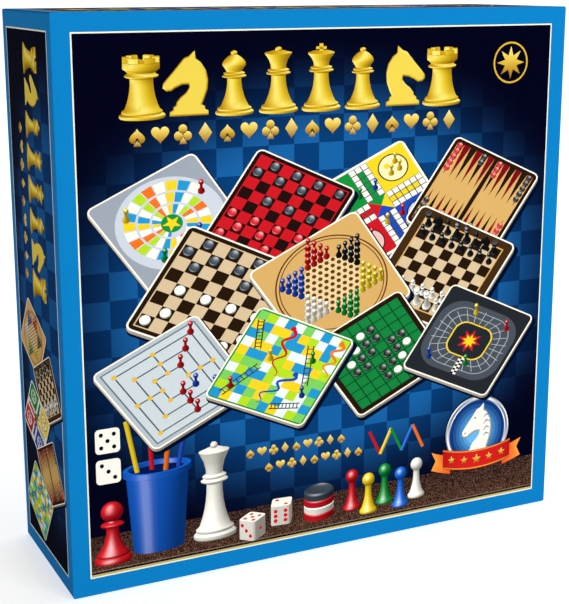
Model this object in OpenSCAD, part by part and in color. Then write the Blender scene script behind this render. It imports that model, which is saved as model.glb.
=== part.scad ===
// Games compendium box: a full-depth telescoping lid over a tray that holds a rule booklet,
// five double-sided boards, a card partition and the playing pieces.
// The box stands on its lower side. X runs across the printed face, Y from that face to the
// back, Z up. The origin is the middle of the footprint.

/* [Closed box] */
// Outer width of the closed box
box_w = 270; // [262:1:300]
// Outer height of the closed box as it stands
box_h = 270; // [264:1:300]
// Outer depth of the closed box, printed face to back
box_d = 83; // [76:1:110]
// Radius of the long outer edges
edge_r = 0.9; // [0.8:0.1:1.3]
// Thickness of the greyboard that both trays are folded from
grey_t = 1.5; // [1.2:0.1:2]
// Thickness of the paper wrap with its glue
wrap_t = 0.3; // [0.2:0.05:0.4]
// How far the wrap turns in over a rim
turn_in = 15; // [8:1:25]
// Width of a corner stay on each side of its corner
stay_w = 18; // [10:1:25]
// Thickness of a corner stay
stay_t = 0.15; // [0.1:0.05:0.2]

/* [Fit of lid and base] */
// Gap between the base and the lid on each side
lid_gap = 0.8; // [0.4:0.1:1.5]
// Gap between the base rim and the lid panel
rim_gap = 0.7; // [0.3:0.1:1.5]
// How far the back of the base lies inside the lid's mouth
back_inset = 0.5; // [0.2:0.1:1]

/* [Rule booklet] */
// Width of the closed booklet
booklet_w = 148; // [120:1:180]
// Height of the closed booklet
booklet_h = 210; // [160:1:230]
// Thickness of the booklet's pages together
pages_t = 0.9; // [0.6:0.1:1.4]
// Thickness of the booklet's cover sheet
cover_t = 0.2; // [0.15:0.05:0.3]
// Diameter of the staple wire
staple_d = 0.5; // [0.4:0.05:0.6]
// Length of a staple's crown
staple_w = 12; // [8:1:14]
// Depth that a staple's legs reach in from the spine
staple_leg = 4; // [2:0.5:6]

/* [Boards] */
// Gap between the boards and the walls of the base
board_gap = 2; // [1:0.5:6]
// Thickness of a board
board_t = 1.8; // [1.4:0.1:2.2]
// Radius of a board's corners
board_r = 8; // [3:0.5:14]
// Gap between neighbouring sheets in the stack
sheet_gap = 0.3; // [0.1:0.05:0.5]

/* [Partition] */
// Thickness of the partition card and the riser card
card_t = 1.2; // [0.8:0.1:1.5]
// Gap between the partition or riser and the walls of the base
insert_gap = 0.5; // [0.3:0.1:1]
// Gap in a slot round the card that crosses it
slot_gap = 0.15; // [0.1:0.05:0.3]
// Width of the tabs that join one strip to another
tab_w = 14; // [8:1:20]
// Room across a cell beyond the piece that lies in it
cell_room = 3; // [2:0.5:5]
// Gap under a piece that rests on a strip
rest_gap = 0.1; // [0.05:0.05:0.2]

/* [Chess pieces] */
// Height of a king
king_h = 54; // [46:1:58]
// Height of a queen
queen_h = 50; // [42:1:54]
// Height of a bishop
bishop_h = 44; // [38:1:48]
// Height of a knight
knight_h = 41; // [37:1:46]
// Height of a rook
rook_h = 36; // [31:1:42]
// Height of a pawn
pawn_h = 30; // [26:1:33]
// Base diameter of a king or queen
king_d = 19; // [18:0.5:21]
// Gap between the feet of two kings, had they stood side by side
man_gap = 0.6; // [0.4:0.1:1.5]
// Base diameter of a bishop, knight or rook
officer_d = 17.6; // [15:0.4:18.4]
// Base diameter of a pawn
pawn_d = 15; // [13:0.5:16.5]
// Height of the stepped foot of a chess piece
foot_h = 3.4; // [2.6:0.2:4]
// Thickness of the collar of a chess piece
collar_h = 1.4; // [1:0.1:1.8]
// Thickness of a knight's head
knight_t = 7; // [5:0.5:9]

/* [Counters, pegs, sticks, dice and cup] */
// Diameter of a counter
counter_d = 22; // [18:0.5:25]
// Thickness of a counter
counter_t = 4.2; // [3:0.1:4.6]
// Counters of each colour
counter_n = 15; // [12:1:15]
// Height of a peg
peg_h = 24; // [18:0.5:28]
// Diameter of a peg's foot
peg_d = 10.5; // [9:0.5:12]
// Gap between the feet of two pegs
peg_gap = 0.6; // [0.3:0.1:1]
// Length of a counting stick
stick_l = 66; // [50:1:68]
// Diameter of a counting stick
stick_d = 2.6; // [2:0.1:3]
// Gap between two counting sticks
stick_gap = 0.3; // [0.1:0.05:0.4]
// Side of a die
die_w = 14; // [12:0.5:16]
// Diameter of a die's pips
pip_d = 2.4; // [1.8:0.1:2.8]
// Outer diameter of the dice cup at its mouth
cup_d = 36; // [32:1:40]
// Outer diameter of the dice cup at its foot
cup_foot_d = 29; // [26:1:32]
// Length of the dice cup
cup_l = 46; // [38:1:54]
// Wall of the dice cup
cup_t = 1.6; // [1.2:0.1:2.2]
// Height of the band round the dice cup's mouth
cup_band = 3; // [2:0.5:5]
// Room in front of and behind the dice cup in its cell
cup_room = 2; // [1:0.5:4]

/* [Hidden] */
$fn = 48;
PAWNS = 8;
OFFICERS = 8;
BOARDS = 5;
PEG_COLUMNS = 5;
PEG_ROWS = 2;
STICKS = 4;
STICK_LAYERS = 2;
DICE = 3;

// Sizes of the two trays, worked inward from the outer box
skin_t = wrap_t + grey_t;
board_edge_r = edge_r - wrap_t;
base_w = box_w - 2 * (skin_t + wrap_t + lid_gap);
base_h = box_h - 2 * (skin_t + wrap_t + lid_gap);
base_back = box_d / 2 - back_inset;
rim_y = -box_d / 2 + skin_t + rim_gap;
base_d = base_back - rim_y;
mid_z = box_h / 2;

// Clear space inside the base
in_w = base_w - 2 * (skin_t + wrap_t);
in_h = base_h - 2 * (skin_t + wrap_t);
in_low = mid_z - in_h / 2;
floor_y = base_back - skin_t;
board_w = in_w - 2 * board_gap;
board_h = in_h - 2 * board_gap;

// The stack from the rim of the base to its floor
booklet_t = pages_t + 2 * cover_t;
booklet_y = rim_y + sheet_gap;
boards_y = booklet_y + booklet_t + sheet_gap;
insert_y = boards_y + BOARDS * (board_t + sheet_gap);
insert_d = cup_d + 2 * cup_room;
cell_y = insert_y + insert_d / 2;
riser_y = insert_y + insert_d + rest_gap;
riser_d = floor_y - rest_gap - riser_y;

// The partition's outer size and its cells
insert_w = in_w - 2 * insert_gap;
insert_h = in_h - 2 * insert_gap;
insert_left = -insert_w / 2;
insert_low = in_low + insert_gap;
insert_top = insert_low + insert_h;
chess_pitch = king_d + man_gap;
left_w = OFFICERS * chess_pitch + cell_room;
right_x = insert_left + left_w + card_t;
right_w = insert_w - left_w - card_t;
post_x = insert_left + left_w + card_t / 2;
third_w = (insert_w - 2 * card_t) / 3;
peg_pitch = peg_d + peg_gap;
stick_pitch = stick_d + stick_gap;
king_row = king_h + cell_room;
stack_h = counter_n * (counter_t + rest_gap);
pawn_row = max(pawn_h + cell_room, (stack_h + cell_room - card_t) / 2);
peg_row = (insert_h - 2 * king_row - 2 * pawn_row - 5 * card_t) / 2;
dice_row = die_w + cell_room;

// Heights of the middle of each level strip, from the top down
level_1 = insert_top - king_row - card_t / 2;
level_2 = level_1 - pawn_row - card_t;
level_3 = level_2 - pawn_row - card_t;
level_4 = level_3 - king_row - card_t;
level_5 = level_4 - peg_row - card_t;
level_dice = level_3 - dice_row - card_t;

// Places of the upright strips
third_x = third_w / 2 + card_t / 2;
column_w = (right_w - 2 * card_t) / 3;
column_x = right_x + right_w / 2;
column_step = column_w + card_t;

// What a piece rests on in each row
king_floor_white = level_1 + card_t / 2 + rest_gap;
pawn_floor_white = level_2 + card_t / 2 + rest_gap;
pawn_floor_black = level_3 + card_t / 2 + rest_gap;
king_floor_black = level_4 + card_t / 2 + rest_gap;

// Plates that face along Y

// A rectangle centred on the origin with round corners
module round_rect(w, h, r) {
    square([w, h - 2 * r], center = true);
    square([w - 2 * r, h], center = true);
    for (x = [-1, 1], y = [-1, 1])
        translate([x * (w / 2 - r), y * (h / 2 - r)]) circle(r = r);
}

// An outline in X and Z made into a plate from y0 to y1
module plate(y0, y1) {
    translate([0, y1, 0]) rotate([90, 0, 0]) linear_extrude(y1 - y0) children();
}

// Trays, with the closed panel at y = 0 and the mouth at y = d

module tray_blank(w, h, d) {
    plate(wrap_t, d - wrap_t) round_rect(w - 2 * wrap_t, h - 2 * wrap_t, board_edge_r);
}

module tray_stays(w, h, d) {
    stay_in = wrap_t + stay_t;
    intersection() {
        difference() {
            tray_blank(w, h, d);
            plate(0, d) round_rect(w - 2 * stay_in, h - 2 * stay_in, board_edge_r - stay_t);
        }
        for (x = [-1, 1], z = [-1, 1])
            translate([x * w / 2, d / 2, z * h / 2])
                cube([2 * (stay_w + wrap_t), 2 * d, 2 * (stay_w + wrap_t)], center = true);
    }
}

module tray_board(w, h, d) {
    difference() {
        tray_blank(w, h, d);
        plate(skin_t, d + 1) square([w - 2 * skin_t, h - 2 * skin_t], center = true);
        tray_stays(w, h, d);
    }
}

module tray_wrap(w, h, d) {
    mouth_w = w - 2 * (skin_t + wrap_t);
    mouth_h = h - 2 * (skin_t + wrap_t);
    difference() {
        plate(0, d) round_rect(w, h, edge_r);
        tray_blank(w, h, d);
        plate(d / 2, d + 1) square([mouth_w, mouth_h], center = true);
    }
    difference() {
        plate(d - turn_in, d - wrap_t / 2)
            square([w - 2 * skin_t, h - 2 * skin_t], center = true);
        plate(d - turn_in - 1, d + 1) square([mouth_w, mouth_h], center = true);
    }
}

module place_lid() {
    translate([0, -box_d / 2, mid_z]) children();
}

module place_base() {
    translate([0, base_back, mid_z]) rotate([0, 0, 180]) children();
}

module lid_board() {
    color("#b9b2a2") place_lid() tray_board(box_w, box_h, box_d);
}

module lid_wrap() {
    color("#0c78c0") place_lid() tray_wrap(box_w, box_h, box_d);
}

module lid_corner_stays() {
    color("#c9a877") place_lid() tray_stays(box_w, box_h, box_d);
}

module base_board() {
    color("#b9b2a2") place_base() tray_board(base_w, base_h, base_d);
}

module base_wrap() {
    color("#0a5a98") place_base() tray_wrap(base_w, base_h, base_d);
}

module base_corner_stays() {
    color("#c9a877") place_base() tray_stays(base_w, base_h, base_d);
}

// Rule booklet, with its spine on the left

// The two staples, each a crown along the spine with two legs into it
module staple_pair(d) {
    for (z = [-1, 1])
        translate([0, 0, z * booklet_h / 4]) {
            translate([-d / 2, 0, 0]) cylinder(d = d, h = staple_w, center = true);
            for (leg = [-1, 1])
                translate([-d / 2, 0, leg * (staple_w - d) / 2])
                    rotate([0, 90, 0]) cylinder(d = d, h = staple_leg + d / 2);
        }
}

module place_booklet() {
    translate([-booklet_w / 2, booklet_y + booklet_t / 2, in_low + rest_gap + booklet_h / 2])
        children();
}

module booklet_cover() {
    color("#e9e4d6") place_booklet() difference() {
        translate([0, -booklet_t / 2, -booklet_h / 2]) cube([booklet_w, booklet_t, booklet_h]);
        translate([cover_t, -pages_t / 2, -booklet_h])
            cube([booklet_w, pages_t, 2 * booklet_h]);
        staple_pair(staple_d + 2 * slot_gap);
    }
}

module booklet_pages() {
    color("#f6f4ee") place_booklet() difference() {
        translate([cover_t, -pages_t / 2, -booklet_h / 2])
            cube([booklet_w - cover_t, pages_t, booklet_h]);
        staple_pair(staple_d + slot_gap);
    }
}

module booklet_staples() {
    color("silver") place_booklet() staple_pair(staple_d);
}

// Boards, the first nearest the lid

module game_board(index) {
    y = boards_y + index * (board_t + sheet_gap);
    translate([0, 0, in_low + rest_gap + board_h / 2])
        plate(y, y + board_t) round_rect(board_w, board_h, board_r);
}

module game_board_1() { color("#c8b28a") game_board(0); }
module game_board_2() { color("#2d8a46") game_board(1); }
module game_board_3() { color("#cda35c") game_board(2); }
module game_board_4() { color("#b81c2c") game_board(3); }
module game_board_5() { color("#7e8f86") game_board(4); }

// Riser: an open-backed card tray that holds the partition up to the boards

module riser_tray() {
    color("#8c8577") translate([0, riser_y, mid_z]) difference() {
        plate(0, riser_d) square([insert_w, insert_h], center = true);
        plate(card_t, riser_d + 1)
            square([insert_w - 2 * card_t, insert_h - 2 * card_t], center = true);
    }
}

// Partition of flat strips. A level strip is slotted from behind and an upright from the
// front, so the two slide together. A strip that stops at another ends in a tab.

slot_w = card_t + 2 * slot_gap;

// Cut for a crossing strip, half the depth of the partition, at the front or the back
module lap_cut(x, front) {
    y = front ? insert_y - 1 : cell_y - slot_gap;
    translate([x - slot_w / 2, y, -insert_h]) cube([slot_w, insert_d / 2 + 1 + slot_gap, 2 * insert_h]);
}

// Window for the tab of a strip that ends here
module tab_window(x) {
    translate([x, cell_y, 0]) cube([slot_w, tab_w + 2 * slot_gap, 3 * card_t], center = true);
}

// A level strip from x0 to x1 at height z, with a tab at either end if asked
module level_strip(z, x0, x1, laps = [], windows = [], tabs = []) {
    translate([0, 0, z]) {
        difference() {
            translate([x0, insert_y, -card_t / 2]) cube([x1 - x0, insert_d, card_t]);
            for (x = laps) lap_cut(x, false);
            for (x = windows) tab_window(x);
        }
        for (x = tabs)
            translate([x, cell_y, 0]) cube([card_t, tab_w, card_t], center = true);
    }
}

// An upright from z0 to z1 at x, made lying down and turned up
module upright(x, z0, z1, laps = [], windows = [], tabs = []) {
    translate([x, 0, 0]) rotate([0, -90, 0]) {
        difference() {
            translate([z0, insert_y, -card_t / 2]) cube([z1 - z0, insert_d, card_t]);
            for (z = laps) lap_cut(z, true);
            for (z = windows) tab_window(z);
        }
        for (z = tabs)
            translate([z, cell_y, 0]) cube([card_t, tab_w, card_t], center = true);
    }
}

// A strip that stops at another ends this far from its middle
stop = card_t / 2 + slot_gap;
// A tab's middle lies this far inside the strip that it passes through
tab_in = slot_gap;

module level_strip_1() {
    color("#9a9284")
        level_strip(level_1, insert_left, -insert_left, [post_x],
            [column_x - column_step / 2, column_x + column_step / 2]);
}

module level_strip_2() {
    color("#9a9284")
        level_strip(level_2, insert_left, post_x - stop, [], [], [post_x - tab_in]);
}

module level_strip_3() {
    color("#9a9284")
        level_strip(level_3, insert_left, -insert_left, [post_x],
            [column_x - column_step / 2, column_x + column_step / 2]);
}

module level_strip_4() {
    color("#9a9284")
        level_strip(level_4, insert_left, -insert_left, [], [-third_x, post_x, third_x]);
}

module level_strip_5() {
    color("#9a9284") level_strip(level_5, insert_left, -insert_left, [-third_x, third_x]);
}

module dice_level_strip() {
    color("#9a9284")
        level_strip(level_dice, post_x + stop, -insert_left, [], [], [post_x + tab_in]);
}

module main_upright() {
    color("#a39b8c")
        upright(post_x, level_4 + stop, insert_top, [level_1, level_3], [level_2, level_dice],
            [level_4 + tab_in]);
}

module peg_upright(x) {
    upright(x, insert_low, level_4 - stop, [level_5], [], [level_4 - tab_in]);
}

module left_peg_upright() { color("#a39b8c") peg_upright(-third_x); }
module right_peg_upright() { color("#a39b8c") peg_upright(third_x); }

module counter_upright(x) {
    upright(x, level_3 + stop, level_1 - stop, [], [], [level_3 + tab_in, level_1 - tab_in]);
}

module left_counter_upright() {
    color("#a39b8c") counter_upright(column_x - column_step / 2);
}

module right_counter_upright() {
    color("#a39b8c") counter_upright(column_x + column_step / 2);
}

// Chess pieces, each turned about Z and standing on z = 0

// Points of a stem that narrows quickly from r0 at z0 and slowly towards r1 at z1
function stem(r0, z0, r1, z1, steps = 6) =
    [for (i = [0:steps]) let (t = i / steps) [r1 + (r0 - r1) * pow(1 - t, 2.2), z0 + (z1 - z0) * t]];

// Points of an arc of radius r about a centre on the axis at height z, from angle a to b
function dome(r, z, a, b, steps = 8) =
    [for (i = [0:steps]) let (t = a + (b - a) * i / steps) [r * cos(t), z + r * sin(t)]];

// Foot, stem and collar up to the height top
module pillar(d, top, neck_r) {
    r = d / 2;
    collar_r = neck_r * 1.75;
    rotate_extrude() polygon(concat(
        [[0, 0], [r, 0], [r, foot_h * 0.55], [r - 0.8, foot_h * 0.75], [r - 0.8, foot_h]],
        stem(r - 2, foot_h, neck_r, top - collar_h),
        [[collar_r, top - collar_h * 0.6], [collar_r, top - collar_h * 0.4], [neck_r, top], [0, top]]
    ));
}

// A head of the form of a flared cup from z to z + h, closed by a low dome
module flared_head(z, h, r0, r1) {
    rotate_extrude() polygon(concat(
        [[0, z - collar_h], [r0, z - collar_h], [r0, z]],
        stem(r0, z, r1, z + h, 3),
        [[r1 - 0.9, z + h + 0.5], [0, z + h + 1.6]]
    ));
}

module pawn() {
    head_r = pawn_d * 0.29;
    top = pawn_h - 2 * head_r + 0.8;
    pillar(pawn_d, top, pawn_d * 0.17);
    rotate_extrude() polygon(concat([[0, top - 1]], dome(head_r, pawn_h - head_r, -60, 90)));
}

module rook() {
    head_r = officer_d * 0.34;
    head_h = rook_h * 0.24;
    top = rook_h - head_h;
    pillar(officer_d, top, officer_d * 0.24);
    difference() {
        translate([0, 0, top - 0.5]) cylinder(r = head_r, h = head_h + 0.5);
        translate([0, 0, rook_h - 2.4]) cylinder(r = head_r - 1.7, h = 3);
        for (a = [0, 60, 120])
            rotate([0, 0, a]) translate([-head_r - 1, -1, rook_h - 2.4])
                cube([2 * head_r + 2, 2, 3]);
    }
}

module bishop() {
    head_r = officer_d * 0.27;
    ball_r = 1.5;
    mitre_from = -70;
    mitre_to = 35;
    centre = bishop_h - 2 * ball_r - head_r * 1.25;
    pillar(officer_d, centre - head_r * 0.85, officer_d * 0.17);
    difference() {
        union() {
            rotate_extrude() polygon(concat([[0, centre - head_r]],
                dome(head_r, centre, mitre_from, mitre_to), [[ball_r * 0.6, centre + head_r * 1.35],
                [0, centre + head_r * 1.35]]));
            translate([0, 0, bishop_h - ball_r]) sphere(r = ball_r);
        }
        translate([head_r * 0.75, 0, centre + head_r * 0.45]) rotate([0, -38, 0])
            cube([head_r * 1.6, 2.5 * head_r, 1.1], center = true);
    }
}

module queen() {
    ball_r = 2;
    crown_h = queen_h * 0.16;
    crown_r = king_d * 0.3;
    top = queen_h - 2 * ball_r - crown_h;
    pillar(king_d, top, king_d * 0.18);
    difference() {
        flared_head(top, crown_h, king_d * 0.17, crown_r);
        for (a = [0:45:315])
            rotate([0, 0, a]) translate([crown_r, 0, top + crown_h + 0.6]) sphere(r = 1.3);
    }
    translate([0, 0, queen_h - ball_r]) sphere(r = ball_r);
}

module king() {
    cross_h = 7;
    arm = 5.4;
    bar = 1.9;
    crown_h = king_h * 0.16;
    top = king_h - cross_h - crown_h;
    pillar(king_d, top, king_d * 0.19);
    flared_head(top, crown_h, king_d * 0.17, king_d * 0.29);
    translate([-bar / 2, -bar / 2, king_h - cross_h]) cube([bar, bar, cross_h]);
    translate([-arm / 2, -bar / 2, king_h - cross_h * 0.62]) cube([arm, bar, bar]);
}

// Side outline of a horse's head and neck, in parts of its height above the foot
function knight_outline(h) = [for (p = [
    [-0.16, 0], [-0.2, 0.13], [-0.18, 0.15], [-0.225, 0.27], [-0.2, 0.3], [-0.235, 0.42], [-0.205, 0.45],
    [-0.22, 0.58], [-0.185, 0.6], [-0.175, 0.72], [-0.14, 0.73], [-0.1, 0.86], [-0.08, 1], [-0.01, 0.92],
    [0.045, 0.88], [0.1, 0.78], [0.165, 0.66], [0.23, 0.54], [0.26, 0.47], [0.262, 0.4], [0.225, 0.355],
    [0.17, 0.35], [0.13, 0.375], [0.08, 0.42], [0.01, 0.44], [-0.01, 0.39], [0.02, 0.3], [0.09, 0.2],
    [0.13, 0.1], [0.15, 0]
]) p * h];

// Right half of its front outline, from the neck up to the ears
function knight_front(h) = [for (p = [[0.7, 0], [0.55, 0.14], [0.5, 0.3], [0.5, 0.62], [0.42, 0.8], [0.3, 1]])
    [p[0] * knight_t, p[1] * h]];

// Outline of the head from above, which narrows towards the muzzle
function knight_plan(h) = [
    [-0.25 * h, -knight_t], [0.06 * h, -knight_t * 0.56], [0.27 * h, -knight_t * 0.3],
    [0.27 * h, knight_t * 0.3], [0.06 * h, knight_t * 0.56], [-0.25 * h, knight_t]
];

module knight() {
    plinth = foot_h + 2.6;
    low = plinth - 0.3;
    h = knight_h - low;
    throat = 0.33 * h;
    slot = knight_t * 0.16;
    front = knight_front(h);
    last = len(front) - 1;
    pillar(officer_d, plinth, officer_d * 0.26);
    translate([0, 0, low]) {
        difference() {
            intersection() {
                plate(-knight_t, knight_t) polygon(knight_outline(h));
                rotate([0, 0, 90]) plate(-officer_d, officer_d)
                    polygon(concat(front, [for (i = [0:last]) [-front[last - i][0], front[last - i][1]]]));
                union() {
                    translate([-officer_d / 2, -knight_t, 0]) cube([officer_d, 2 * knight_t, throat]);
                    translate([0, 0, throat]) linear_extrude(height = h) polygon(knight_plan(h));
                }
            }
            translate([-0.2 * h, -slot / 2, 0.88 * h]) cube([0.2 * h, slot, 0.2 * h]);
        }
        for (side = [-1, 1]) translate([0.055 * h, side * knight_t * 0.37, 0.76 * h]) sphere(r = 0.9);
    }
}

// A file of the chess board, counted from 0 at the left, as a place along X
function file_x(file) = insert_left + (file + 0.5) * chess_pitch + cell_room / 2;

module in_files(files, floor_z) {
    for (file = files) translate([file_x(file), cell_y, floor_z]) children();
}

module white_rooks() { color("ivory") in_files([0, 7], king_floor_white) rook(); }
module white_knights() { color("ivory") in_files([1, 6], king_floor_white) knight(); }
module white_bishops() { color("ivory") in_files([2, 5], king_floor_white) bishop(); }
module white_queen() { color("ivory") in_files([3], king_floor_white) queen(); }
module white_king() { color("ivory") in_files([4], king_floor_white) king(); }
module white_pawns() { color("ivory") in_files([0:PAWNS - 1], pawn_floor_white) pawn(); }
module black_rooks() { color("#222222") in_files([0, 7], king_floor_black) rook(); }
module black_knights() { color("#222222") in_files([1, 6], king_floor_black) knight(); }
module black_bishops() { color("#222222") in_files([2, 5], king_floor_black) bishop(); }
module black_queen() { color("#222222") in_files([3], king_floor_black) queen(); }
module black_king() { color("#222222") in_files([4], king_floor_black) king(); }
module black_pawns() { color("#222222") in_files([0:PAWNS - 1], pawn_floor_black) pawn(); }

// Counters, stacked in the three columns beside the pawns

module counter() {
    groove = 0.5;
    difference() {
        cylinder(d = counter_d, h = counter_t);
        for (z = [0, counter_t]) translate([0, 0, z]) difference() {
            cylinder(d = counter_d - 3, h = 2 * groove, center = true);
            cylinder(d = counter_d * 0.5, h = 3 * groove, center = true);
        }
    }
}

module counter_stack(column) {
    for (i = [0:counter_n - 1])
        translate([column_x + column * column_step, cell_y,
            pawn_floor_black + i * (counter_t + rest_gap)]) counter();
}

module white_counters() { color("ivory") counter_stack(-1); }
module black_counters() { color("#33383d") counter_stack(0); }
module red_counters() { color("#d8361e") counter_stack(1); }

// Pegs, standing on the riser with their heads to the front, one colour to a cell

module peg() {
    r = peg_d / 2;
    head_r = r * 0.62;
    rotate_extrude() polygon(concat(
        [[0, 0], [r, 0], [r, 1.6], [r - 0.7, 2.4]],
        stem(r - 1.2, 2.8, r * 0.36, peg_h - 2 * head_r + 0.4),
        dome(head_r, peg_h - head_r, -55, 90)
    ));
}

module peg_block(column, low) {
    for (i = [0:PEG_COLUMNS - 1], j = [0:PEG_ROWS - 1])
        translate([column * (third_w + card_t) + (i - (PEG_COLUMNS - 1) / 2) * peg_pitch,
            insert_y + insert_d - rest_gap, low + rest_gap + (j + 0.5) * peg_pitch])
            rotate([90, 0, 0]) peg();
}

upper_peg_low = level_5 + card_t / 2;

module red_pegs() { color("#c01722") peg_block(-1, upper_peg_low); }
module yellow_pegs() { color("#e8c020") peg_block(0, upper_peg_low); }
module green_pegs() { color("#158a3c") peg_block(1, upper_peg_low); }
module blue_pegs() { color("#1a52b0") peg_block(-1, insert_low); }
module white_pegs() { color("ivory") peg_block(0, insert_low); }
module black_pegs() { color("#222222") peg_block(1, insert_low); }

// Counting sticks, in layers in the cell under the dice, each colour side by side

module stick() {
    rotate([0, 90, 0]) cylinder(d = stick_d, h = stick_l, center = true);
}

module stick_set(colour) {
    for (i = [0:STICKS - 1])
        translate([right_x + right_w / 2, cell_y + (i % STICK_LAYERS - 0.5) * stick_pitch,
            king_floor_black
                + ((colour * STICKS + i - i % STICK_LAYERS) / STICK_LAYERS + 0.5) * stick_pitch])
            stick();
}

module red_sticks() { color("#c01722") stick_set(0); }
module yellow_sticks() { color("#e8c020") stick_set(1); }
module green_sticks() { color("#158a3c") stick_set(2); }
module blue_sticks() { color("#1a52b0") stick_set(3); }
module black_sticks() { color("#222222") stick_set(4); }

// Dice, with opposite faces that add to seven

// Places of the pips of a face, in steps from its middle
function pips(n) = concat(
    n % 2 == 1 ? [[0, 0]] : [],
    n > 1 ? [[-1, 1], [1, -1]] : [],
    n > 3 ? [[-1, -1], [1, 1]] : [],
    n == 6 ? [[-1, 0], [1, 0]] : []
);

// Turns that bring the top to each face, for the faces 1 to 6
face_turns = [[0, 0, 0], [90, 0, 0], [0, 90, 0], [0, -90, 0], [-90, 0, 0], [180, 0, 0]];

module die() {
    pip_step = die_w * 0.26;
    difference() {
        intersection() {
            cube(die_w, center = true);
            sphere(r = die_w * 0.78, $fn = 64);
        }
        for (face = [1:6], p = pips(face))
            rotate(face_turns[face - 1])
                translate([p[0] * pip_step, p[1] * pip_step, die_w / 2 + pip_d * 0.22])
                    sphere(d = pip_d, $fn = 24);
    }
}

module dice() {
    die_turns = [[0, 0, 0], [90, 0, 90], [180, 90, 0]];
    color("white") for (i = [0:DICE - 1])
        translate([right_x + (i + 0.8) * (die_w + cell_room), cell_y,
            level_dice + card_t / 2 + rest_gap + die_w / 2]) rotate(die_turns[i]) die();
}

// Dice cup, lying with its mouth to the right

module dice_cup() {
    mouth_r = cup_d / 2;
    foot_r = cup_foot_d / 2;
    body_r = mouth_r - 0.8;
    color("#145ab8")
        translate([right_x + (right_w - cup_l) / 2, cell_y, king_floor_white + mouth_r])
            rotate([0, 90, 0]) rotate_extrude() polygon([
                [0, 0], [foot_r - 1, 0], [foot_r, 1], [body_r, cup_l - cup_band],
                [mouth_r, cup_l - cup_band], [mouth_r, cup_l], [body_r - cup_t, cup_l],
                [foot_r - cup_t, cup_t], [0, cup_t]
            ]);
}

lid_board();
lid_wrap();
lid_corner_stays();
base_board();
base_wrap();
base_corner_stays();
booklet_cover();
booklet_pages();
booklet_staples();
game_board_1();
game_board_2();
game_board_3();
game_board_4();
game_board_5();
riser_tray();
level_strip_1();
level_strip_2();
level_strip_3();
level_strip_4();
level_strip_5();
dice_level_strip();
main_upright();
left_peg_upright();
right_peg_upright();
left_counter_upright();
right_counter_upright();
white_king();
white_queen();
white_rooks();
white_bishops();
white_knights();
white_pawns();
black_king();
black_queen();
black_rooks();
black_bishops();
black_knights();
black_pawns();
white_counters();
black_counters();
red_counters();
red_pegs();
yellow_pegs();
green_pegs();
blue_pegs();
white_pegs();
black_pegs();
red_sticks();
yellow_sticks();
green_sticks();
blue_sticks();
black_sticks();
dice();
dice_cup();
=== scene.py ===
"""Looks of a games compendium box: its printed wrap, boards, booklet, card and playing pieces."""

import math

import bpy
import numpy as np
from bpy.props import FloatProperty, FloatVectorProperty, PointerProperty
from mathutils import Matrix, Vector


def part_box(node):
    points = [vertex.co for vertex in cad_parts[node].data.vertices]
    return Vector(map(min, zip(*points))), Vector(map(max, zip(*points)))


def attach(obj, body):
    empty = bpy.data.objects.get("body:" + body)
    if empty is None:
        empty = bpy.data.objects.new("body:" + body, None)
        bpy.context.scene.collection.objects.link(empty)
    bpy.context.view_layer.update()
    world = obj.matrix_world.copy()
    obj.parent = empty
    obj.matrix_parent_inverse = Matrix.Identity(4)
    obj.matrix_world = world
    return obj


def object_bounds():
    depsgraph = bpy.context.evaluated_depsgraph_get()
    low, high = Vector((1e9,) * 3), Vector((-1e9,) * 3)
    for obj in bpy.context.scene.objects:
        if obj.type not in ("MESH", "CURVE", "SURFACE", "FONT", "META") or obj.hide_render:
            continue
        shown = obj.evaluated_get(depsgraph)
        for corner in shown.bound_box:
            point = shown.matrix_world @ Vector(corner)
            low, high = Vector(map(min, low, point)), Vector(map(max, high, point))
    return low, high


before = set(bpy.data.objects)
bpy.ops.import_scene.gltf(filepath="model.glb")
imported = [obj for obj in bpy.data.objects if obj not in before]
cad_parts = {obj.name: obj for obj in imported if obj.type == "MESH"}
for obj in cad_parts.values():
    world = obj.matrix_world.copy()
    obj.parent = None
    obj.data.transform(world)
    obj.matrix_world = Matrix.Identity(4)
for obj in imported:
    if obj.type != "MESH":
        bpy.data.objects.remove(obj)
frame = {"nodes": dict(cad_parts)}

bl_info = {
    "name": "Games Compendium Box",
    "version": (1, 0, 0),
    "blender": (4, 5, 0),
    "location": "3D View > Sidebar > Games Box",
    "description": "Dresses the box, its boards and its playing pieces",
    "category": "Object",
}

MM = 0.001
CAD_LOW, CAD_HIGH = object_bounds()
BOX_LOW = np.array(CAD_LOW)
BOX_HIGH = np.array(CAD_HIGH)
BOX_SIZE = (BOX_HIGH - BOX_LOW) / MM
RIGHT, BACK, UP = np.eye(3)

# Printed colours, as 8-bit sRGB
CREAM = (238, 236, 214)
NAVY = (3, 4, 24)
RIM = (240, 231, 214)
WALNUT = (62, 40, 20)
MAPLE = (208, 184, 146)
TAN = (208, 166, 98)
DEEP_BROWN = (36, 22, 12)
SCARLET = (196, 24, 34)
CRIMSON = (120, 12, 24)
LEAF = (18, 138, 56)
LIME = (176, 214, 36)
ROYAL = (28, 70, 176)
AZURE = (24, 104, 210)
SKY = (34, 146, 200)
SUN = (238, 204, 34)
SLATE = (56, 66, 76)
IVORY = (240, 236, 224)
COAL = (26, 26, 30)
ORANGE = (236, 112, 30)


def linear(colour):
    """8-bit sRGB as linear light."""
    c = np.asarray(colour, float) / 255
    return np.where(c <= 0.04045, c / 12.92, ((c + 0.055) / 1.055) ** 2.4)


def swatch(colour):
    """8-bit sRGB as a colour property's default."""
    return tuple(float(c) for c in linear(colour))


def mix(a, b, share):
    """Colours between a and b, for one share or for an array of them."""
    share = np.asarray(share, float)[..., None]
    return np.asarray(a, float) * (1 - share) + np.asarray(b, float) * share


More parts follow.
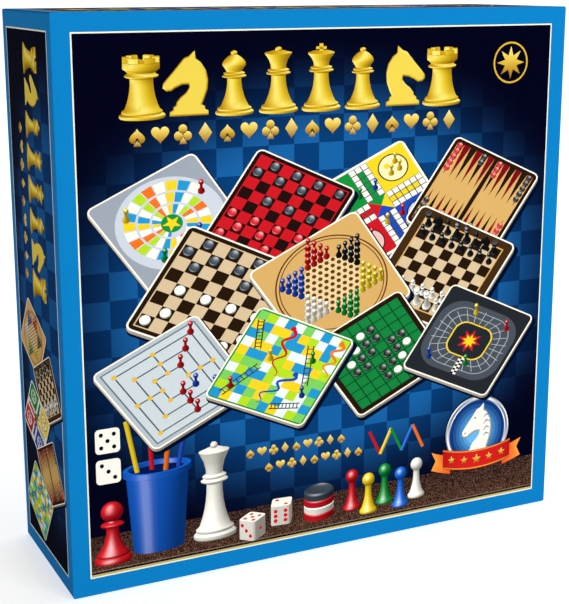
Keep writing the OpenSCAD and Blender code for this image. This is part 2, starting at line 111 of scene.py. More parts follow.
def unit(v):
    """Vectors of length one."""
    v = np.asarray(v, float)
    return v / np.maximum(np.linalg.norm(v, axis=-1, keepdims=True), 1e-9)


# Flat outlines


def oblong(x0, y0, x1, y1):
    """Corners of a rectangle."""
    return np.array([(x0, y0), (x1, y0), (x1, y1), (x0, y1)], float)


def disc(x, y, r, sides=24, start=0.0):
    """A regular polygon, round where it has many sides."""
    turn = np.arange(sides) * 2 * math.pi / sides + math.radians(start)
    return np.stack([x + r * np.cos(turn), y + r * np.sin(turn)], 1)


def arc(x, y, r, first, last, steps):
    """Points along an arc, with angles in degrees."""
    turn = np.radians(np.linspace(first, last, steps + 1))
    return np.stack([x + r * np.cos(turn), y + r * np.sin(turn)], 1)


def square(half):
    """Corners of a square about the origin."""
    return oblong(-half, -half, half, half)


def round_oblong(x0, y0, x1, y1, r, steps=5):
    """A rectangle with round corners."""
    corners = [(x1 - r, y1 - r, 0), (x0 + r, y1 - r, 90), (x0 + r, y0 + r, 180), (x1 - r, y0 + r, 270)]
    return np.concatenate([arc(x, y, r, a, a + 90, steps) for x, y, a in corners])


def star(x, y, r, points=5, waist=0.42, start=90):
    """A star whose inner corners lie at waist of its radius."""
    turn = np.radians(start + np.arange(2 * points) * 180 / points)
    reach = np.where(np.arange(2 * points) % 2 == 0, r, r * waist)
    return np.stack([x + reach * np.cos(turn), y + reach * np.sin(turn)], 1)


def stroke(points, width):
    """The outline of a line of the given width, or widths, through points."""
    points = np.asarray(points, float)
    along = unit(np.gradient(points, axis=0))
    side = np.stack([-along[:, 1], along[:, 0]], 1) * np.reshape(width, (-1, 1)) / 2
    return np.concatenate([points - side, (points + side)[::-1]])


def heart(size):
    """A card suit's heart, point down."""
    t = np.linspace(0, 2 * math.pi, 28, endpoint=False)
    x = 16 * np.sin(t) ** 3
    y = 13 * np.cos(t) - 5 * np.cos(2 * t) - 2 * np.cos(3 * t) - np.cos(4 * t)
    return np.stack([-x, y + 2], 1) * size / 34


def suit(kind, size):
    """Outlines of a card suit's mark, centred on the origin."""
    foot = np.array([(-0.2, -0.5), (0.2, -0.5), (0.04, -0.1), (-0.04, -0.1)]) * size
    if kind == "heart":
        return [heart(size)]
    if kind == "spade":
        return [heart(size * 0.86)[::-1] * (1, -1), foot]
    if kind == "diamond":
        return [np.array([(0, -0.52), (0.36, 0), (0, 0.52), (-0.36, 0)]) * size]
    lobes = [(0, 0.24), (-0.24, -0.1), (0.24, -0.1)]
    return [disc(x * size, y * size, 0.23 * size, 16) for x, y in lobes] + [foot]


# Solid shapes that are pictured in print, as points, normals and faces


def scaled(shape, size):
    """A shape made larger, by one factor or by one for each axis."""
    points, normals, faces = shape
    return points * size, normals, faces


def turned(profile, sides=18):
    """A shape turned about Z from (radius, height) pairs, running up its outside."""
    profile = np.asarray(profile, float)
    run = np.diff(profile, axis=0)
    out = unit(np.stack([run[:, 1], -run[:, 0]], 1))
    points, normals, faces = [], [], []
    turn = np.arange(sides) * 2 * math.pi / sides
    round_it = np.stack([np.cos(turn), np.sin(turn)], 1)
    for i, n in enumerate(out):
        ends = []
        for j in (i - 1, i + 1):
            smooth = 0 <= j < len(out) and out[j] @ n > 0.7
            ends.append(unit(n + out[j]) if smooth else n)
        first = len(points) * sides
        for (r, z), (nr, nz) in zip(profile[i : i + 2], ends, strict=True):
            points.append(np.column_stack([round_it * r, np.full(sides, z)]))
            normals.append(np.column_stack([round_it * nr, np.full(sides, nz)]))
        for k in range(sides):
            after = (k + 1) % sides
            faces.append((first + k, first + after, first + sides + after, first + sides + k))
    return np.concatenate(points), np.concatenate(normals), faces


def dome(r, z, first, last, steps=6):
    """Profile points of a ball of radius r at height z, between two angles."""
    return arc(0, z, r, first, last, steps).tolist()


def waist_curve(r0, z0, r1, z1, steps=5):
    """Profile points of a stem that narrows quickly at first."""
    t = np.linspace(0, 1, steps + 1)
    return np.stack([r1 + (r0 - r1) * (1 - t) ** 2.2, z0 + (z1 - z0) * t], 1).tolist()


def man_profile(kind):
    """Profile of a small chess man, in parts of its height."""
    foot = [(0, 0), (0.2, 0), (0.2, 0.04), (0.17, 0.07)]
    if kind == "pawn":
        foot = [(0, 0), (0.26, 0), (0.26, 0.06), (0.22, 0.11)]
        collar = [(0.17, 0.63), (0.17, 0.66), (0.09, 0.69)]
        return foot + waist_curve(0.2, 0.13, 0.09, 0.6) + collar + dome(0.165, 0.835, -55, 90)
    if kind == "rook":
        foot = [(0, 0), (0.25, 0), (0.25, 0.05), (0.21, 0.09)]
        collar = [(0.19, 0.72), (0.19, 0.75), (0.15, 0.78)]
        head = [(0.2, 0.82), (0.2, 1), (0.13, 1), (0.13, 0.92), (0, 0.92)]
        return foot + waist_curve(0.19, 0.11, 0.12, 0.7) + collar + head
    if kind == "bishop":
        collar = [(0.13, 0.63), (0.13, 0.65), (0.07, 0.68)]
        mitre = [(0.11, 0.72), (0.125, 0.77), (0.11, 0.83), (0.07, 0.89), (0.025, 0.93)]
        return foot + waist_curve(0.15, 0.09, 0.07, 0.6) + collar + mitre + dome(0.035, 0.965, -60, 90, 4)
    if kind == "queen":
        collar = [(0.13, 0.69), (0.13, 0.71), (0.08, 0.74)]
        crown = [(0.09, 0.8), (0.14, 0.9), (0.11, 0.92), (0.06, 0.94)]
        return foot + waist_curve(0.15, 0.09, 0.075, 0.66) + collar + crown + dome(0.035, 0.965, -40, 90, 4)
    collar = [(0.13, 0.66), (0.13, 0.68), (0.08, 0.71)]
    crown = [(0.085, 0.77), (0.13, 0.85), (0.1, 0.88), (0, 0.89)]
    return foot + waist_curve(0.15, 0.09, 0.075, 0.63) + collar + crown


def grand_profile(kind):
    """Profile of a large chess man with stepped rings, in parts of its height."""
    if kind == "pawn":
        foot = [(0, 0), (0.26, 0), (0.27, 0.02), (0.27, 0.07), (0.24, 0.1)]
        step = [(0.225, 0.11), (0.235, 0.13), (0.235, 0.155)]
        collar = [(0.1, 0.59), (0.165, 0.61), (0.17, 0.63), (0.15, 0.65), (0.09, 0.67)]
        return foot + step + waist_curve(0.19, 0.2, 0.09, 0.57) + collar + dome(0.165, 0.835, -60, 90)
    foot = [(0, 0), (0.195, 0), (0.205, 0.012), (0.205, 0.042), (0.185, 0.06)]
    foot += [(0.172, 0.066), (0.182, 0.078), (0.182, 0.096)]
    if kind == "rook":
        foot = [(r * 1.22, z * 1.2) for r, z in foot]
        collar = [(0.135, 0.66), (0.18, 0.68), (0.185, 0.7), (0.16, 0.72), (0.15, 0.75)]
        head = [(0.19, 0.8), (0.2, 0.81), (0.2, 0.92), (0, 0.92)]
        return foot + waist_curve(0.19, 0.15, 0.125, 0.64) + collar + head
    collar = [(0.085, 0.575), (0.125, 0.59), (0.13, 0.603), (0.105, 0.618)]
    collar += [(0.09, 0.624), (0.112, 0.636), (0.115, 0.648)]
    body = foot + waist_curve(0.15, 0.125, 0.075, 0.565) + collar
    if kind == "bishop":
        mitre = [(0.08, 0.67), (0.1, 0.72), (0.125, 0.77), (0.122, 0.81)]
        mitre += [(0.105, 0.85), (0.07, 0.9), (0.03, 0.935)]
        return body + mitre + dome(0.036, 0.963, -55, 90, 5)
    neck = [(0.08, 0.67), (0.082, 0.72)]
    if kind == "queen":
        crown = [(0.1, 0.8), (0.14, 0.89), (0.145, 0.905), (0.11, 0.915), (0.07, 0.935)]
        return body + neck + crown + dome(0.036, 0.962, -50, 90, 5)
    return body + neck + [(0.1, 0.78), (0.138, 0.85), (0.14, 0.865), (0.1, 0.885), (0, 0.895)]


def knight_outline():
    """A horse's head and neck on a stepped foot, facing left, in parts of its height."""
    foot = [(0.27, 0), (0.27, 0.07), (0.22, 0.1), (0.22, 0.14), (0.18, 0.17)]
    mane = [(0.22, 0.27), (0.26, 0.4), (0.27, 0.55), (0.24, 0.7), (0.17, 0.82), (0.1, 0.88), (0.09, 1)]
    brow = [(0.01, 0.92), (-0.06, 0.89), (-0.12, 0.81), (-0.21, 0.69), (-0.3, 0.58)]
    muzzle = [(-0.35, 0.51), (-0.36, 0.44), (-0.31, 0.39), (-0.24, 0.39)]
    throat = [(-0.19, 0.43), (-0.09, 0.48), (0, 0.49)]
    chest = [(0.01, 0.44), (-0.04, 0.36), (-0.12, 0.29), (-0.17, 0.22)]
    return np.array(foot + mane + brow + muzzle + throat + chest + [(-x, y) for x, y in foot[::-1]])


def sheet(outline):
    """A flat shape that faces up."""
    n = len(outline)
    return np.column_stack([outline, np.zeros(n)]), np.tile((0, 0, 1.0), (n, 1)), [tuple(range(n))]


def slab(outline, thick):
    """A plate of the outline's form, standing on its own lower face."""
    n = len(outline)
    low = np.column_stack([outline, np.zeros(n)])
    high = np.column_stack([outline, np.full(n, thick)])
    edge = np.roll(outline, -1, 0) - outline
    out = unit(np.column_stack([edge[:, 1], -edge[:, 0], np.zeros(n)]))
    points, normals = [high, low], [np.tile((0, 0, 1.0), (n, 1)), np.tile((0, 0, -1.0), (n, 1))]
    faces = [tuple(range(n)), tuple(range(2 * n - 1, n - 1, -1))]
    for i in range(n):
        j = (i + 1) % n
        first = 2 * n + 4 * i
        points.append(np.array([low[i], low[j], high[j], high[i]]))
        normals.append(np.tile(out[i], (4, 1)))
        faces.append((first, first + 1, first + 2, first + 3))
    return np.concatenate(points), np.concatenate(normals), faces


def puffed(outline, inset, rise):
    """A plate with a rounded edge, seen from straight above."""
    n = len(outline)
    along = unit(np.roll(outline, -1, 0) - np.roll(outline, 1, 0))
    out = np.stack([along[:, 1], -along[:, 0]], 1)
    # For each ring of the edge: its share of the inset, its share of the rise, and how it leans
    rings = ((0, 0, 1.0), (0.3, 0.65, 0.75), (0.65, 0.92, 0.35), (1, 1, 0.0))
    points, normals, faces = [], [], []
    for share, height, lean in rings:
        points.append(np.column_stack([outline - out * inset * share, np.full(n, rise * height)]))
        normals.append(unit(np.column_stack([out * lean, np.full(n, 1.05 - lean * 0.9)])))
    last = len(rings) - 1
    for ring in range(last):
        for i in range(n):
            j = (i + 1) % n
            faces.append((ring * n + i, ring * n + j, (ring + 1) * n + j, (ring + 1) * n + i))
    faces.append(tuple(range(last * n, (last + 1) * n)))
    return np.concatenate(points), np.concatenate(normals), faces


def rod(start, end, r, sides=8):
    """A round stick between two points."""
    start, end = np.array(start, float), np.array(end, float)
    axis = unit(end - start)
    across = unit(np.cross(axis, (0.3, 0.2, 1.0)))
    over = np.cross(axis, across)
    p, n, faces = turned([(0, 0), (r, 0), (r, 1), (0, 1)], sides)
    turn = np.stack([across, over, axis])
    stretch = np.linalg.norm(end - start)
    return start + (p * (1, 1, stretch)) @ turn, n @ turn, faces


def brick(low, high):
    """A block between two corners."""
    (x0, y0, z0), (x1, y1, z1) = low, high
    p, n, faces = slab(oblong(x0, y0, x1, y1), z1 - z0)
    return p + (0, 0, z0), n, faces


# Inks


def plastic(colour, gloss=0.5, band=0.0):
    """Moulded plastic in print: lit from the upper left, with a small highlight and a band of light."""
    light = unit((-0.4, 0.6, 0.75))
    half = unit(light + (0, 0, 1))
    shade, lift = 0.5, 0.62
    sharpness = 26
    band_at, band_width = -0.42, 0.17

    def ink(points, normals):
        lit = shade + lift * np.clip(normals @ light, 0, 1)
        shine = gloss * np.clip(normals @ half, 0, 1) ** sharpness
        shine = shine + band * np.exp(-(((normals[:, 0] - band_at) / band_width) ** 2))
        return np.clip(linear(colour) * lit[:, None] ** 2 + shine[:, None], 0, 1)

    return ink


# Gold foil from the dark ground that it mirrors to the bright sky and beyond
FOIL = ((86, 56, 6), (150, 116, 14), (210, 176, 32), (240, 222, 118), (196, 154, 24), (124, 86, 10))


def foil(points, normals):
    """Gold in print, which mirrors a bright sky and a dark ground."""
    stops = np.array(FOIL)
    tilt = normals[:, 1] * 0.62 - normals[:, 0] * 0.5
    most = 0.95
    where = np.clip((tilt + most) / (2 * most), 0, 1) * (len(stops) - 1)
    at = np.minimum(where.astype(int), len(stops) - 2)
    return linear(stops[at] + (stops[at + 1] - stops[at]) * (where - at)[:, None])


def matt(colour):
    """A flat colour that no light changes."""

    def ink(points, normals):
        return np.broadcast_to(linear(colour), points.shape)

    return ink


class View:
    """Where a pictured thing lands on the print, and how it is turned and seen."""

    def __init__(self, at, scale=1.0, spin=0.0, rise=0.0, roll=0.0, level=0):
        self.at, self.scale, self.level = np.array(at, float), scale, level
        s, e, r = (math.radians(a) for a in (spin, rise, roll))
        about = np.array([(math.cos(s), -math.sin(s), 0), (math.sin(s), math.cos(s), 0), (0, 0, 1)])
        tilt = np.array([(1, 0, 0), (0, math.sin(e), math.cos(e)), (0, -math.cos(e), math.sin(e))])
        lean = np.array([(math.cos(r), -math.sin(r), 0), (math.sin(r), math.cos(r), 0), (0, 0, 1)])
        self.turn = lean @ tilt @ about

    def show(self, vectors):
        """Vectors as the viewer sees them: across, up and towards."""
        return np.asarray(vectors, float) @ self.turn.T


class Press:
    """Collects what is printed on one flat face, in millimetres across and up from its corner."""

    # Heights above the paper: of the ink, from one pictured board to the next, and between layers
    INK = 0.02
    LEVEL = 0.034
    LIFT = 0.003
    # Layers left free under the pictures, and the share of a pictured thing's depth that is kept
    LAYERS = 8
    RELIEF = 0.0003
    # How much higher than on the paper a flat shape lies that covers pictures
    OVER = 0.055
    # Share of the ink's height that its film fills
    FILM = 0.9

    def __init__(self, corner, across, up):
        self.corner, self.across, self.up = (np.array(v, float) for v in (corner, across, up))
        self.out = np.cross(self.across, self.up)
        self.flats, self.reliefs = [], []

    def lay(self, pile, height, spots, inks, faces, grain=0.0):
        """Adds faces whose corners lie at spots, height above the paper."""
        spots = np.asarray(spots, float)
        n = len(spots)
        high = np.broadcast_to(np.asarray(height, float), n)
        place = np.outer(spots[:, 0], self.across) + np.outer(spots[:, 1], self.up)
        points = self.corner + (place + np.outer(high, self.out)) * MM
        pile.append((points, np.column_stack([np.broadcast_to(inks, (n, 3)), np.full(n, 1 - grain)]), faces))

    def layer(self, lift, over):
        """The pile that a flat shape goes to and its height, on the paper or over the pictures."""
        height = self.INK + lift * self.LIFT
        return (self.reliefs, height + self.OVER) if over else (self.flats, height)

    def fill(self, outline, colour, lift=0.0, grain=0.0, over=False):
        """A flat shape in one colour, or in one colour for each corner."""
        self.lay(*self.layer(lift, over), outline, linear(colour), [range(len(outline))], grain)

    def patches(self, corners, colours, lift=0.0, over=False):
        """Flat four-sided patches with a colour for each corner."""
        n = len(corners)
        faces = np.arange(4 * n).reshape(n, 4).tolist()
        inks = linear(colours.reshape(-1, 3))
        self.lay(*self.layer(lift, over), corners.reshape(-1, 2), inks, faces)

    def picture(self, shape, view, ink, lift=0.0, place=(0, 0, 0)):
        """A solid shape as the view shows it, pressed almost flat."""
        points, normals, faces = shape
        seen = view.show((points + place) * view.scale)
        facing = view.show(normals)
        facing[:, 2] = np.abs(facing[:, 2])
        height = self.INK + view.level * self.LEVEL + self.LAYERS * self.LIFT
        height = height + lift * self.LIFT + seen[:, 2] * self.RELIEF
        self.lay(self.reliefs, height, seen[:, :2] + view.at, ink(seen, facing), faces)

    def publish(self, name, body, material):
        """Makes the printed objects and puts them on their body."""
        for pile, suffix in ((self.flats, ""), (self.reliefs, "_pictures")):
            if not pile:
                continue
            faces, count = [], 0
            for points, _, own in pile:
                faces.extend([[count + i for i in face] for face in own])
                count += len(points)
            mesh = bpy.data.meshes.new(name + suffix)
            mesh.from_pydata(np.concatenate([p for p, _, _ in pile]).tolist(), [], faces)
            inks = np.concatenate([c for _, c, _ in pile])
            carried = mesh.color_attributes.new("ink", "FLOAT_COLOR", "POINT")
            carried.data.foreach_set("color", inks.ravel())
            mesh.materials.append(material)
            obj = bpy.data.objects.new(name + suffix, mesh)
            bpy.context.scene.collection.objects.link(obj)
            if pile is self.flats:
                film = obj.modifiers.new("film", "SOLIDIFY")
                film.thickness = self.INK * self.FILM * MM
                film.offset = -1
            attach(obj, body)


# Board designs


# Profiles of a peg, in parts of its height, and of a counter, in parts of its radius
PEG = [(0, 0), (0.22, 0), (0.22, 0.09), (0.09, 0.3), (0.08, 0.64)]
PEG += [(0.14, 0.73), (0.165, 0.83), (0.12, 0.95), (0, 1)]
COUNTER = [(0, 0), (1, 0), (1, 0.36), (0.86, 0.46), (0.7, 0.34), (0, 0.34)]
# Heights of the chess men on a board, in parts of its side
MEN = {"king": 0.2, "queen": 0.185, "bishop": 0.165, "knight": 0.15, "rook": 0.135, "pawn": 0.115}
BACK_ROW = ("rook", "knight", "bishop", "queen", "king", "bishop", "knight", "rook")


def upright(shape, thick):
    """A plate turned up from lying to standing, with its middle over the origin."""
    points, normals, faces = shape
    rise = np.array([(1, 0, 0), (0, 0, 1), (0, -1, 0)])
    return points @ rise + (0, thick / 2, 0), normals @ rise, faces


def joined(*shapes):
    """Several shapes as one."""
    points, normals, faces = [], [], []
    for p, n, own in shapes:
        first = sum(len(q) for q in points)
        faces += [tuple(first + i for i in face) for face in own]
        points.append(p)
        normals.append(n)
    return np.concatenate(points), np.concatenate(normals), faces


def battlements():
    """The six teeth round the top of a large rook, in parts of its height."""
    outer, inner, low, tall = 0.2, 0.13, 0.91, 0.09
    teeth = []
    for first in range(-75, 285, 60):
        last = first + 36
        ring = np.concatenate([arc(0, 0, outer, first, last, 4), arc(0, 0, inner, last, first, 4)])
        points, normals, faces = slab(ring, tall)
        teeth.append((points + (0, 0, low), normals, faces))
    return teeth


def man(kind, height, sides=10, profile=man_profile):
    """A chess man of the given height."""
    if kind == "knight":
        thick = height * 0.2
        return upright(slab(knight_outline() * height, thick), thick)
    shape = turned(profile(kind), sides)
    if kind == "king":
        bar, arm = 0.02, 0.055
        post = brick((-bar, -bar, 0.88), (bar, bar, 1))
        shape = joined(shape, post, brick((-arm, -bar, 0.92), (arm, bar, 0.955)))
    if kind == "rook" and profile is grand_profile:
        shape = joined(shape, *battlements())
    return scaled(shape, height)


def peg(height, sides=8):
    """A playing peg of the given height."""
    return scaled(turned(PEG, sides), height)


def grand_peg(height):
    """A large playing peg with a stepped foot and a round head."""
    foot = [(0, 0), (0.22, 0), (0.23, 0.02), (0.23, 0.07), (0.2, 0.1)]
    profile = foot + waist_curve(0.19, 0.11, 0.08, 0.66) + dome(0.165, 0.835, -58, 90, 8)
    return scaled(turned(profile, 28), height)


def counter(radius, sides=16):
    """A counter of the given radius."""
    return scaled(turned(COUNTER, sides), radius)


def moved(outline, x, y, angle=0.0):
    """An outline turned about the origin and moved."""
    a = math.radians(angle)
    turn = np.array([(math.cos(a), math.sin(a)), (-math.sin(a), math.cos(a))])
    return np.asarray(outline, float) @ turn + (x, y)


class Design:
    """A board's print and the pieces that stand on it, in parts of its side from its middle."""

    def __init__(self, ground):
        self.ground = ground
        self.prints = []
        self.stands = []

    def fill(self, outline, colour, lift=1):
        """A flat shape."""
        self.prints.append((np.asarray(outline, float), colour, lift))

    def squares(self, half, count, colour, lift=1):
        """Every second square of a board of count by count squares."""
        step = 2 * half / count
        for i in range(count):
            for j in range((i + 1) % 2, count, 2):
                x, y = i * step - half, j * step - half
                self.fill(oblong(x, y, x + step, y + step), colour, lift)

    def line(self, points, width, colour, lift=1):
        """A line through points."""
        self.fill(stroke(points, width), colour, lift)

    def ring(self, x, y, r, width, colour, inside, lift=1):
        """A circle drawn with a line."""
        self.fill(disc(x, y, r, 64), colour, lift)
        self.fill(disc(x, y, r - width, 64), inside, lift + 1)

    def stand(self, shape, x, y, colour):
        """A piece on the board."""
        self.stands.append((shape, (x, y, 0), plastic(colour)))


def chess_board():
    """Chess, set out for play."""
    board = Design(WALNUT)
    half = 0.4
    step = half / 4
    board.fill(square(half + 0.012), TAN)
    board.fill(square(half), DEEP_BROWN, 2)
    board.squares(half, 8, MAPLE, 3)
    for i, officer in enumerate(BACK_ROW):
        for rank, kind, colour in (
            (3.5, officer, COAL), (2.5, "pawn", COAL), (-2.5, "pawn", IVORY), (-3.5, officer, IVORY),
        ):
            board.stand(man(kind, MEN[kind]), (i - 3.5) * step, rank * step, colour)
    return board


def draughts_board(dark, light, near, far, rows):
    """Draughts in two colours, with rows as places of (near, far) men still in play."""
    board = Design(dark)
    half = 0.44
    step = half / 4
    board.fill(square(half + 0.01), light)
    board.fill(square(half), dark, 2)
    board.squares(half, 8, light, 3)
    for colour, places in zip((near, far), rows, strict=True):
        for j in places:
            for i in range(j % 2, 8, 2):
                taken = (i * 3 + j * 5) % 7 == 6
                if not taken:
                    board.stand(counter(0.042), (i - 3.5) * step, (j - 3.5) * step, colour)
    return board


def star_board():
    """A six-pointed star of holes with a troop of pegs in each point."""
    line, ground, hole = (84, 40, 18), (228, 200, 146), (92, 54, 26)
    board = Design(TAN)
    reach = 0.435
    board.ring(0, 0, reach + 0.03, 0.012, line, TAN)
    board.ring(0, 0, reach, 0.008, line, TAN, 3)
    board.fill(star(0, 0, reach, 6, 0.577, 30), ground, 5)
    step = 0.0585
    troops = {(0, 1): SCARLET, (0, -1): LEAF, (1, 1): SUN, (1, -1): ROYAL, (2, 1): IVORY, (2, -1): COAL}
    for a in range(-8, 9):
        for b in range(-8, 9):
            # Three coordinates that add to nothing, of which one is past 4 in a point of the star
            cube = (a, b, -a - b)
            if max(cube) > 4 and min(cube) < -4:
                continue
            x, y = step * (b + a / 2), step * math.sqrt(0.75) * a
            troop = [colour for (axis, sign), colour in troops.items() if cube[axis] * sign > 4]
            board.fill(disc(x, y, 0.019, 8), troop[0] if troop else hole, 6)
            if troop:
                board.stand(peg(0.125, 7), x, y, troop[0])
    return board


def cross_board():
    """A race round a cross, with a yard in each corner."""
    board = Design(IVORY)
    cell = 0.95 / 15
    rim = cell * 0.07
    tall = 0.12
    for i in range(15):
        for j in range(15):
            if 5 < i < 9 or 5 < j < 9:
                x, y = (i - 7.5) * cell, (j - 7.5) * cell
                home = IVORY
                if j == 7 and 0 < i < 14:
                    home = SUN if i > 7 else SCARLET
                if i == 7 and 0 < j < 14:
                    home = LEAF if j > 7 else ROYAL
                board.fill(oblong(x, y, x + cell, y + cell), SLATE)
                board.fill(oblong(x + rim, y + rim, x + cell - rim, y + cell - rim), home, 2)
    middle = 1.5 * cell
    for i, (x, y, colour) in enumerate(((-1, 1, LEAF), (1, 1, SUN), (1, -1, ROYAL), (-1, -1, SCARLET))):
        yard = np.array([x, y]) * 4.5 * cell
        board.fill(square(3 * cell) + yard, colour)
        board.ring(*yard, 2.3 * cell, 0.012, COAL, mix(colour, IVORY, 0.75), 2)
        for a in range(4):
            turn = a * math.pi / 2 + 0.8
            spot = yard + cell * np.array([math.cos(turn), math.sin(turn)])
            board.fill(disc(*spot, 0.028, 12), colour, 4)
            if a != i:
                board.stand(peg(tall), *spot, colour)
        board.stand(peg(tall), (i - 1.5) * 1.3 * cell, (-1) ** i * 3 * cell, colour)
        board.fill([(0, 0), (middle * y, -middle * x), (middle * x, middle * y)], colour, 3)
    return board


def point_board():
    """Twenty-four points with men on them."""
    board = Design(DEEP_BROWN)
    half, bar, tip = 0.45, 0.022, 0.08
    width = (half - bar) / 6
    board.fill(square(half), TAN)
    board.fill(oblong(-bar, -half, bar, half), DEEP_BROWN, 2)
    for way in (-1, 1):
        for i in range(6):
            x = way * (bar + (i + 0.5) * width)
            for side in (-1, 1):
                shade = CRIMSON if (i + (side > 0) + (way > 0)) % 2 else DEEP_BROWN
                point = [(x - width / 2, side * half), (x + width / 2, side * half), (x, side * tip)]
                board.fill(point[::side], shade, 2)
    # Points counted from the bar, with the far or the near side, and the men on each
    for place, side, count, colour in (
        (5, 1, 5, COAL), (0, 1, 3, SCARLET), (-6, 1, 5, SCARLET), (-2, 1, 2, COAL),
        (5, -1, 5, SCARLET), (1, -1, 3, COAL), (-6, -1, 4, COAL), (-3, -1, 3, SCARLET),
    ):
        x = (place + 0.5) * width + (bar if place >= 0 else -bar)
        for i in range(count):
            board.stand(counter(0.031, 12), x, side * (0.415 - 0.064 * i), colour)
    return board


def mill_board():
    """Three squares joined by four lines, with a place at each corner and crossing."""
    rim, ground, line, brass = (96, 110, 120), (198, 208, 212), (60, 74, 84), (226, 180, 60)
    board = Design((176, 186, 192))
    board.fill(square(0.45), rim)
    board.fill(square(0.437), ground, 2)
    width = 0.012
    halves = (0.37, 0.25, 0.13)
    for i, half in enumerate(halves):
        board.fill(square(half), line, 3 + 2 * i)
        board.fill(square(half - width), ground, 4 + 2 * i)
    for x, y in ((1, 0), (0, 1), (-1, 0), (0, -1)):
        board.line([(x * 0.12, y * 0.12), (x * 0.37, y * 0.37)], width, line, 9)
    round_square = ((1, 0), (1, 1), (0, 1), (-1, 1), (-1, 0), (-1, -1), (0, -1), (1, -1))
    places = [(x * (half - 0.005), y * (half - 0.005)) for half in halves for x, y in round_square]
    for i, (x, y) in enumerate(places, 1):
        board.fill(disc(x, y, 0.024, 12), brass, 10)
        if i * 5 % 8 in (0, 2, 3):
            board.stand(peg(0.14), x, y, SCARLET if i * 5 % 8 else ROYAL)
    return board


def snake_board():
    """A hundred squares with ladders and snakes."""
    board = Design(LEAF)
    shades = (SKY, LIME, SUN, (120, 200, 90), (226, 236, 240))
    step = 0.094
    for i in range(10):
        for j in range(10):
            x, y = (i - 5) * step, (j - 5) * step
            shade = shades[(i * 2 + j + j // 2 + i * i * j // 5) % 5]
            board.fill(oblong(x, y, x + step, y + step), shade)
    for foot, top in (
        ((-0.38, -0.42), (-0.2, -0.05)), ((0.3, -0.1), (0.14, 0.3)),
        ((-0.3, 0.1), (-0.42, 0.38)), ((0.1, -0.4), (0.36, -0.3)),
    ):
        ends = np.array([foot, top])
        run = ends[1] - ends[0]
        side = unit((-run[1], run[0])) * 0.026
        for way in (-1, 1):
            board.line(ends + way * side, 0.011, WALNUT, 2)
        for rung in np.linspace(0.08, 0.92, 8):
            middle = ends[0] + run * rung
            board.line([middle - side, middle + side], 0.009, WALNUT, 3)
    for head, tail, colour in (
        ((-0.1, 0.4), (-0.05, -0.1), SCARLET), ((0.4, 0.42), (0.4, 0.05), ORANGE),
        ((0.16, -0.02), (-0.06, -0.4), ROYAL),
    ):
        along = np.linspace(0, 1, 26)
        path = mix(head, tail, along) + np.outer(np.sin(along * 15), (0.045, 0))
        board.line(path, 0.034 * (1 - 0.75 * along), colour, 4)
        board.fill(disc(*head, 0.026, 12), colour, 5)
    for x, y, colour in (
        (-0.33, -0.33, SCARLET), (0.24, 0.16, LEAF), (-0.14, 0.05, SUN), (0.33, -0.2, ROYAL),
    ):
        board.stand(peg(0.13), x, y, colour)
    return board


def lane_board():
    """An oval race track with lanes and a chequered start."""
    ground, road, line, mark = (34, 38, 44), (70, 76, 84), (150, 156, 162), (190, 196, 202)
    board = Design(ground)
    for lift, (inset, colour) in enumerate((
        (0, road), (0.07, line), (0.08, road), (0.15, line), (0.16, road), (0.23, SUN), (0.245, ground),
    ), 1):
        x = 0.45 - inset
        y = x * 0.86
        board.fill(round_oblong(-x, -y, x, y, x * 0.55, 8), colour, lift)
    for i in range(24):
        angle = i * math.pi / 12
        near = np.array([math.cos(angle) * 0.24, math.sin(angle) * 0.2])
        board.line([near, near * 1.72], 0.005, mark, 9)
    wide, tall = 0.03, 0.022
    for i in range(18):
        x = wide * (i % 2)
        y = -0.387 + tall * (i // 2)
        board.fill(oblong(x, y, x + wide, y + tall), IVORY if (i + i // 2) % 2 else COAL, 10)
    for x, y, colour in ((0.3, 0.26, SCARLET), (0.1, -0.24, LEAF), (-0.1, 0.3, SUN), (-0.3, -0.3, ROYAL)):
        board.stand(peg(0.13), x, y, colour)
    board.fill(star(0, 0, 0.13, 8, 0.5), SCARLET, 11)
    board.fill(star(0, 0, 0.08, 8, 0.5), SUN, 12)
    return board


def goose_board():
    """A track of coloured places that winds in to the middle."""
    board = Design((150, 158, 170))
    board.fill(disc(0, 0, 0.455, 48), (196, 204, 214))
    shades = (IVORY, SKY, SUN, IVORY, ORANGE, LIME)
    count, turns, width = 62, 2.6, 0.095
    for i in range(count):
        edges = []
        for k in (i, i + 0.9):
            r = 0.43 - 0.3 * k / count
            angle = k / count * math.tau * turns + 0.4
            edges.append([(q * math.cos(angle), q * math.sin(angle)) for q in (r, r - width)])
        (a, b), (c, d) = edges
        board.fill([b, a, c, d], shades[i % 6], 2)
    board.fill(disc(0, 0, 0.09, 24), LEAF, 3)
    board.fill(star(0, 0, 0.08, 5), SUN, 4)
    for angle, r, colour in ((20, 0.38, SCARLET), (140, 0.37, SUN), (230, 0.36, LEAF), (300, 0.26, ROYAL)):
        x, y = r * math.cos(math.radians(angle)), r * math.sin(math.radians(angle))
        board.stand(peg(0.14), x, y, colour)
    return board


def disc_board():
    """A green board of plain squares with black and white discs."""
    board = Design(DEEP_BROWN)
    half, line = 0.44, 0.005
    step = half / 4
    board.fill(square(half), (12, 52, 26))
    for i in range(8):
        for j in range(8):
            x, y = (i - 4) * step, (j - 4) * step
            board.fill(oblong(x + line, y + line, x + step - line, y + step - line), (20, 124, 58), 2)
            in_play = abs(i - 3.5) + abs(j - 3.5) < 4 and (i * 5 + j * 3) % 4
            if in_play:
                colour = COAL if (i + 2 * j) % 3 else IVORY
                board.stand(counter(0.04), x + step / 2, y + step / 2, colour)
    return board


